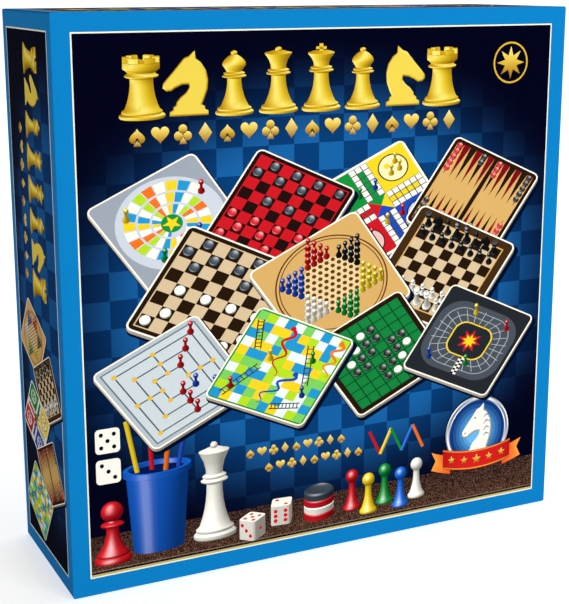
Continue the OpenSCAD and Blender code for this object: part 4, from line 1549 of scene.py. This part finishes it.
class GAMESBOX_OT_trays(bpy.types.Operator):
    """Dress the lid and the base: greyboard, corner stays and varnished wrap"""

    bl_idname = "gamesbox.trays"
    bl_label = "Trays"

    def execute(self, context):
        look = context.scene.games_box.wrap
        for node, colour in (("lid_wrap", look.lid), ("base_wrap", look.base)):
            name = node.replace("_", " ")
            wrap = paper(name, colour, look.gloss, grain=1400.0, swing=0.02, relief=0.00001)
            wrap.feed(wrap.surface.inputs["Specular IOR Level"], 0.002)
            dress([node], wrap)
        board = paper("greyboard", look.board, 0.85, grain=500.0, swing=0.1, relief=0.00005)
        dress(["lid_board", "base_board"], board)
        stays = paper("corner stays", look.tape, 0.7, grain=700.0, swing=0.08)
        dress(["lid_corner_stays", "base_corner_stays"], stays)
        return {"FINISHED"}


class GAMESBOX_OT_print(bpy.types.Operator):
    """Print the lid's front, sides and ends"""

    bl_idname = "gamesbox.print"
    bl_label = "Printed faces"

    def execute(self, context):
        look = context.scene.games_box.print
        material = printed("box ink", look.gloss).material
        designs = all_designs()
        (left, front, foot), (right, back, top) = BOX_LOW, BOX_HIGH
        w, d, h = BOX_SIZE
        sides = ("star", "chess", "cross", "points", "snakes")
        ends = ("cross", "lanes")
        # Plain borders round the panels in millimetres: the usual one, and those that are narrower
        plain, side_front, side_back, end_back = 8, 7, 6, 5
        left_panel = (side_back, plain), (d - side_front, h - plain)
        right_panel = (side_front, plain), (d - side_back, h - plain)
        top_panel = (plain, plain), (w - plain, d - end_back)
        foot_panel = (plain, end_back), (w - plain, d - plain)
        faces = (
            ("front_print", (left, front, foot), RIGHT, UP, print_front, ()),
            ("left_print", (left, back, foot), -BACK, UP, print_side, (*left_panel, sides, 0.8)),
            ("right_print", (right, front, foot), BACK, UP, print_side, (*right_panel, sides[::-1], 0.2)),
            ("top_print", (left, front, top), RIGHT, BACK, print_end, (*top_panel, ends)),
            ("foot_print", (left, back, foot), RIGHT, -BACK, print_end, (*foot_panel, ends)),
        )
        for name, corner, across, up, draw, layout in faces:
            press = Press(corner, across, up)
            draw(press, designs, look, *layout)
            press.publish(name, "lid", material)
        return {"FINISHED"}


class GAMESBOX_OT_boards(bpy.types.Operator):
    """Dress the five boards and print a game on each face"""

    bl_idname = "gamesbox.boards"
    bl_label = "Boards"

    def execute(self, context):
        look = context.scene.games_box.card
        ink = printed("board ink", 0.42).material
        designs = all_designs()
        games = (
            ("chess", "draughts"), ("cross", "goose"), ("star", "snakes"), ("red_draughts", "points"),
            ("mill", "lanes"),
        )
        nodes = [f"game_board_{i + 1}" for i in range(len(games))]
        dress(nodes, two_faced("board", look.rim, look.core))
        margin, sharpest = look.margin / MM, 0.5
        corner_r = max(look.corner / MM - margin, sharpest)
        for i, (node, (on_front, on_back)) in enumerate(zip(nodes, games, strict=True), 1):
            (left, front, foot), (right, back, top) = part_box(node)
            w, h = (right - left) / MM, (top - foot) / MM
            ground = round_oblong(margin, margin, w - margin, h - margin, corner_r, 8)
            for game, face, corner, across in (
                (on_front, "front", (left, front, foot), RIGHT),
                (on_back, "back", (right, back, foot), -RIGHT),
            ):
                press = Press(corner, across, UP)
                press.fill(ground, designs[game].ground)
                for outline, colour, lift in designs[game].prints:
                    press.fill((outline + 0.5) * (w, h), colour, lift)
                press.publish(f"{node}_{face}_print", f"board_{i}", ink)
        return {"FINISHED"}


class GAMESBOX_OT_booklet(bpy.types.Operator):
    """Dress the rule booklet and print its cover"""

    bl_idname = "gamesbox.booklet"
    bl_label = "Rule booklet"

    def execute(self, context):
        look = context.scene.games_box.card
        dress(["booklet_cover"], paper("cover paper", look.cover, 0.55, grain=1300.0, swing=0.03))
        pages = Shader("pages", 0.75)
        leaves = pages.between(pages.noise(6500.0, 1.0, (0.05, 1.0, 0.05)), 0.4, 0.6)
        pages.colour(pages.blend(leaves, tinted(look.page, 0.72), look.page))
        pages.bump(leaves, 0.00003)
        dress(["booklet_pages"], pages)
        dress(["booklet_staples"], wire("staple wire"))
        low, high = (np.array(corner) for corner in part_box("booklet_cover"))
        w, h = (high[0] - low[0]) / MM, (high[2] - low[2]) / MM
        edge = 8
        press = Press(low, RIGHT, UP)
        panel(press, (edge, edge), (w - edge, h - edge), (w, h), context.scene.games_box.print)
        gold_men(press, (17, h - 62), turn=0, height=28, pitch=19, count=6)
        gold_suits(press, (24, h - 78), turn=0, size=9, pitch=12.5, count=8)
        places = (("goose", w / 2 - 20, 84, 52, 30, 0), ("points", w / 2 + 22, 58, 52, -30, 1))
        board_group(press, all_designs(), places)
        press.publish("booklet_print", "booklet", printed("booklet ink", 0.45).material)
        return {"FINISHED"}


class GAMESBOX_OT_partition(bpy.types.Operator):
    """Dress the card partition and the riser under it"""

    bl_idname = "gamesbox.partition"
    bl_label = "Card partition"

    def execute(self, context):
        look = context.scene.games_box.card
        nodes = frame["nodes"]
        strips = [n for n in nodes if n.startswith("level_strip") or n.endswith(("_strip", "_upright"))]
        dress(strips, flecked("partition card", look.partition, (0.07, 0.06, 0.05), 0.82))
        dress(["riser_tray"], flecked("riser card", look.riser, (0.06, 0.05, 0.04), 0.84))
        return {"FINISHED"}


class GAMESBOX_OT_pieces(bpy.types.Operator):
    """Colour the chess men, counters and pegs"""

    bl_idname = "gamesbox.pieces"
    bl_label = "Men, counters and pegs"

    def execute(self, context):
        look = context.scene.games_box.pieces
        kinds = ("king", "queen", "rooks", "bishops", "knights", "pawns", "counters", "pegs")
        for name in ("white", "black", "red", "yellow", "green", "blue"):
            nodes = [f"{name}_{kind}" for kind in kinds if f"{name}_{kind}" in frame["nodes"]]
            dress(nodes, moulded(f"{name} plastic", getattr(look, name)))
        return {"FINISHED"}


class GAMESBOX_OT_sticks(bpy.types.Operator):
    """Colour the counting sticks"""

    bl_idname = "gamesbox.sticks"
    bl_label = "Counting sticks"

    def execute(self, context):
        look = context.scene.games_box.pieces
        for name in ("red", "yellow", "green", "blue", "black"):
            dress([f"{name}_sticks"], dyed_wood(f"{name} wood", getattr(look, name)))
        return {"FINISHED"}


class GAMESBOX_OT_dice(bpy.types.Operator):
    """Dress the dice and the dice cup"""

    bl_idname = "gamesbox.dice"
    bl_label = "Dice and cup"

    def execute(self, context):
        look = context.scene.games_box.pieces
        low, high = (np.array(corner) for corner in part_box("dice"))
        side = high[2] - low[2]
        pitch = (high[0] - low[0] - side) / 2
        dress(["dice"], dice_plastic("dice plastic", look.white, look.pip, low, high, side, pitch))
        dress(["dice_cup"], moulded("cup plastic", look.blue, 0.3))
        return {"FINISHED"}


class GAMESBOX_OT_stage(bpy.types.Operator):
    """Set the floor, the lights, the surround and the camera"""

    bl_idname = "gamesbox.stage"
    bl_label = "Stage"

    def execute(self, context):
        look = context.scene.games_box.stage
        lay_floor(look)
        hang_lamps(look)
        light_surround(look)
        place_camera()
        context.scene.view_settings.view_transform = "Standard"
        return {"FINISHED"}


OPERATORS = (
    GAMESBOX_OT_trays,
    GAMESBOX_OT_print,
    GAMESBOX_OT_boards,
    GAMESBOX_OT_booklet,
    GAMESBOX_OT_partition,
    GAMESBOX_OT_pieces,
    GAMESBOX_OT_sticks,
    GAMESBOX_OT_dice,
    GAMESBOX_OT_stage,
)
GROUPS = (GamesBoxWrap, GamesBoxPrint, GamesBoxCard, GamesBoxPieces, GamesBoxStage, GamesBoxSettings)


class GAMESBOX_PT_panel(bpy.types.Panel):
    """The games box in the sidebar"""

    bl_idname = "GAMESBOX_PT_panel"
    bl_label = "Games Box"
    bl_space_type = "VIEW_3D"
    bl_region_type = "UI"
    bl_category = "Games Box"

    def draw(self, context):
        settings = context.scene.games_box
        for part in ("wrap", "print", "card", "pieces", "stage"):
            group = getattr(settings, part)
            column = self.layout.box().column()
            for name in group.__annotations__:
                column.prop(group, name)
        for operator in OPERATORS:
            self.layout.operator(operator.bl_idname)


def register():
    """Registers the classes and the scene's settings."""
    for cls in (*GROUPS, *OPERATORS, GAMESBOX_PT_panel):
        bpy.utils.register_class(cls)
    bpy.types.Scene.games_box = PointerProperty(type=GamesBoxSettings)


def unregister():
    """Takes away what register added."""
    del bpy.types.Scene.games_box
    for cls in reversed((*GROUPS, *OPERATORS, GAMESBOX_PT_panel)):
        bpy.utils.unregister_class(cls)


def main():
    """Builds the scene in order."""
    register()
    for operator in OPERATORS:
        group, name = operator.bl_idname.split(".")
        getattr(getattr(bpy.ops, group), name)()


if __name__ == "__main__":
    main()
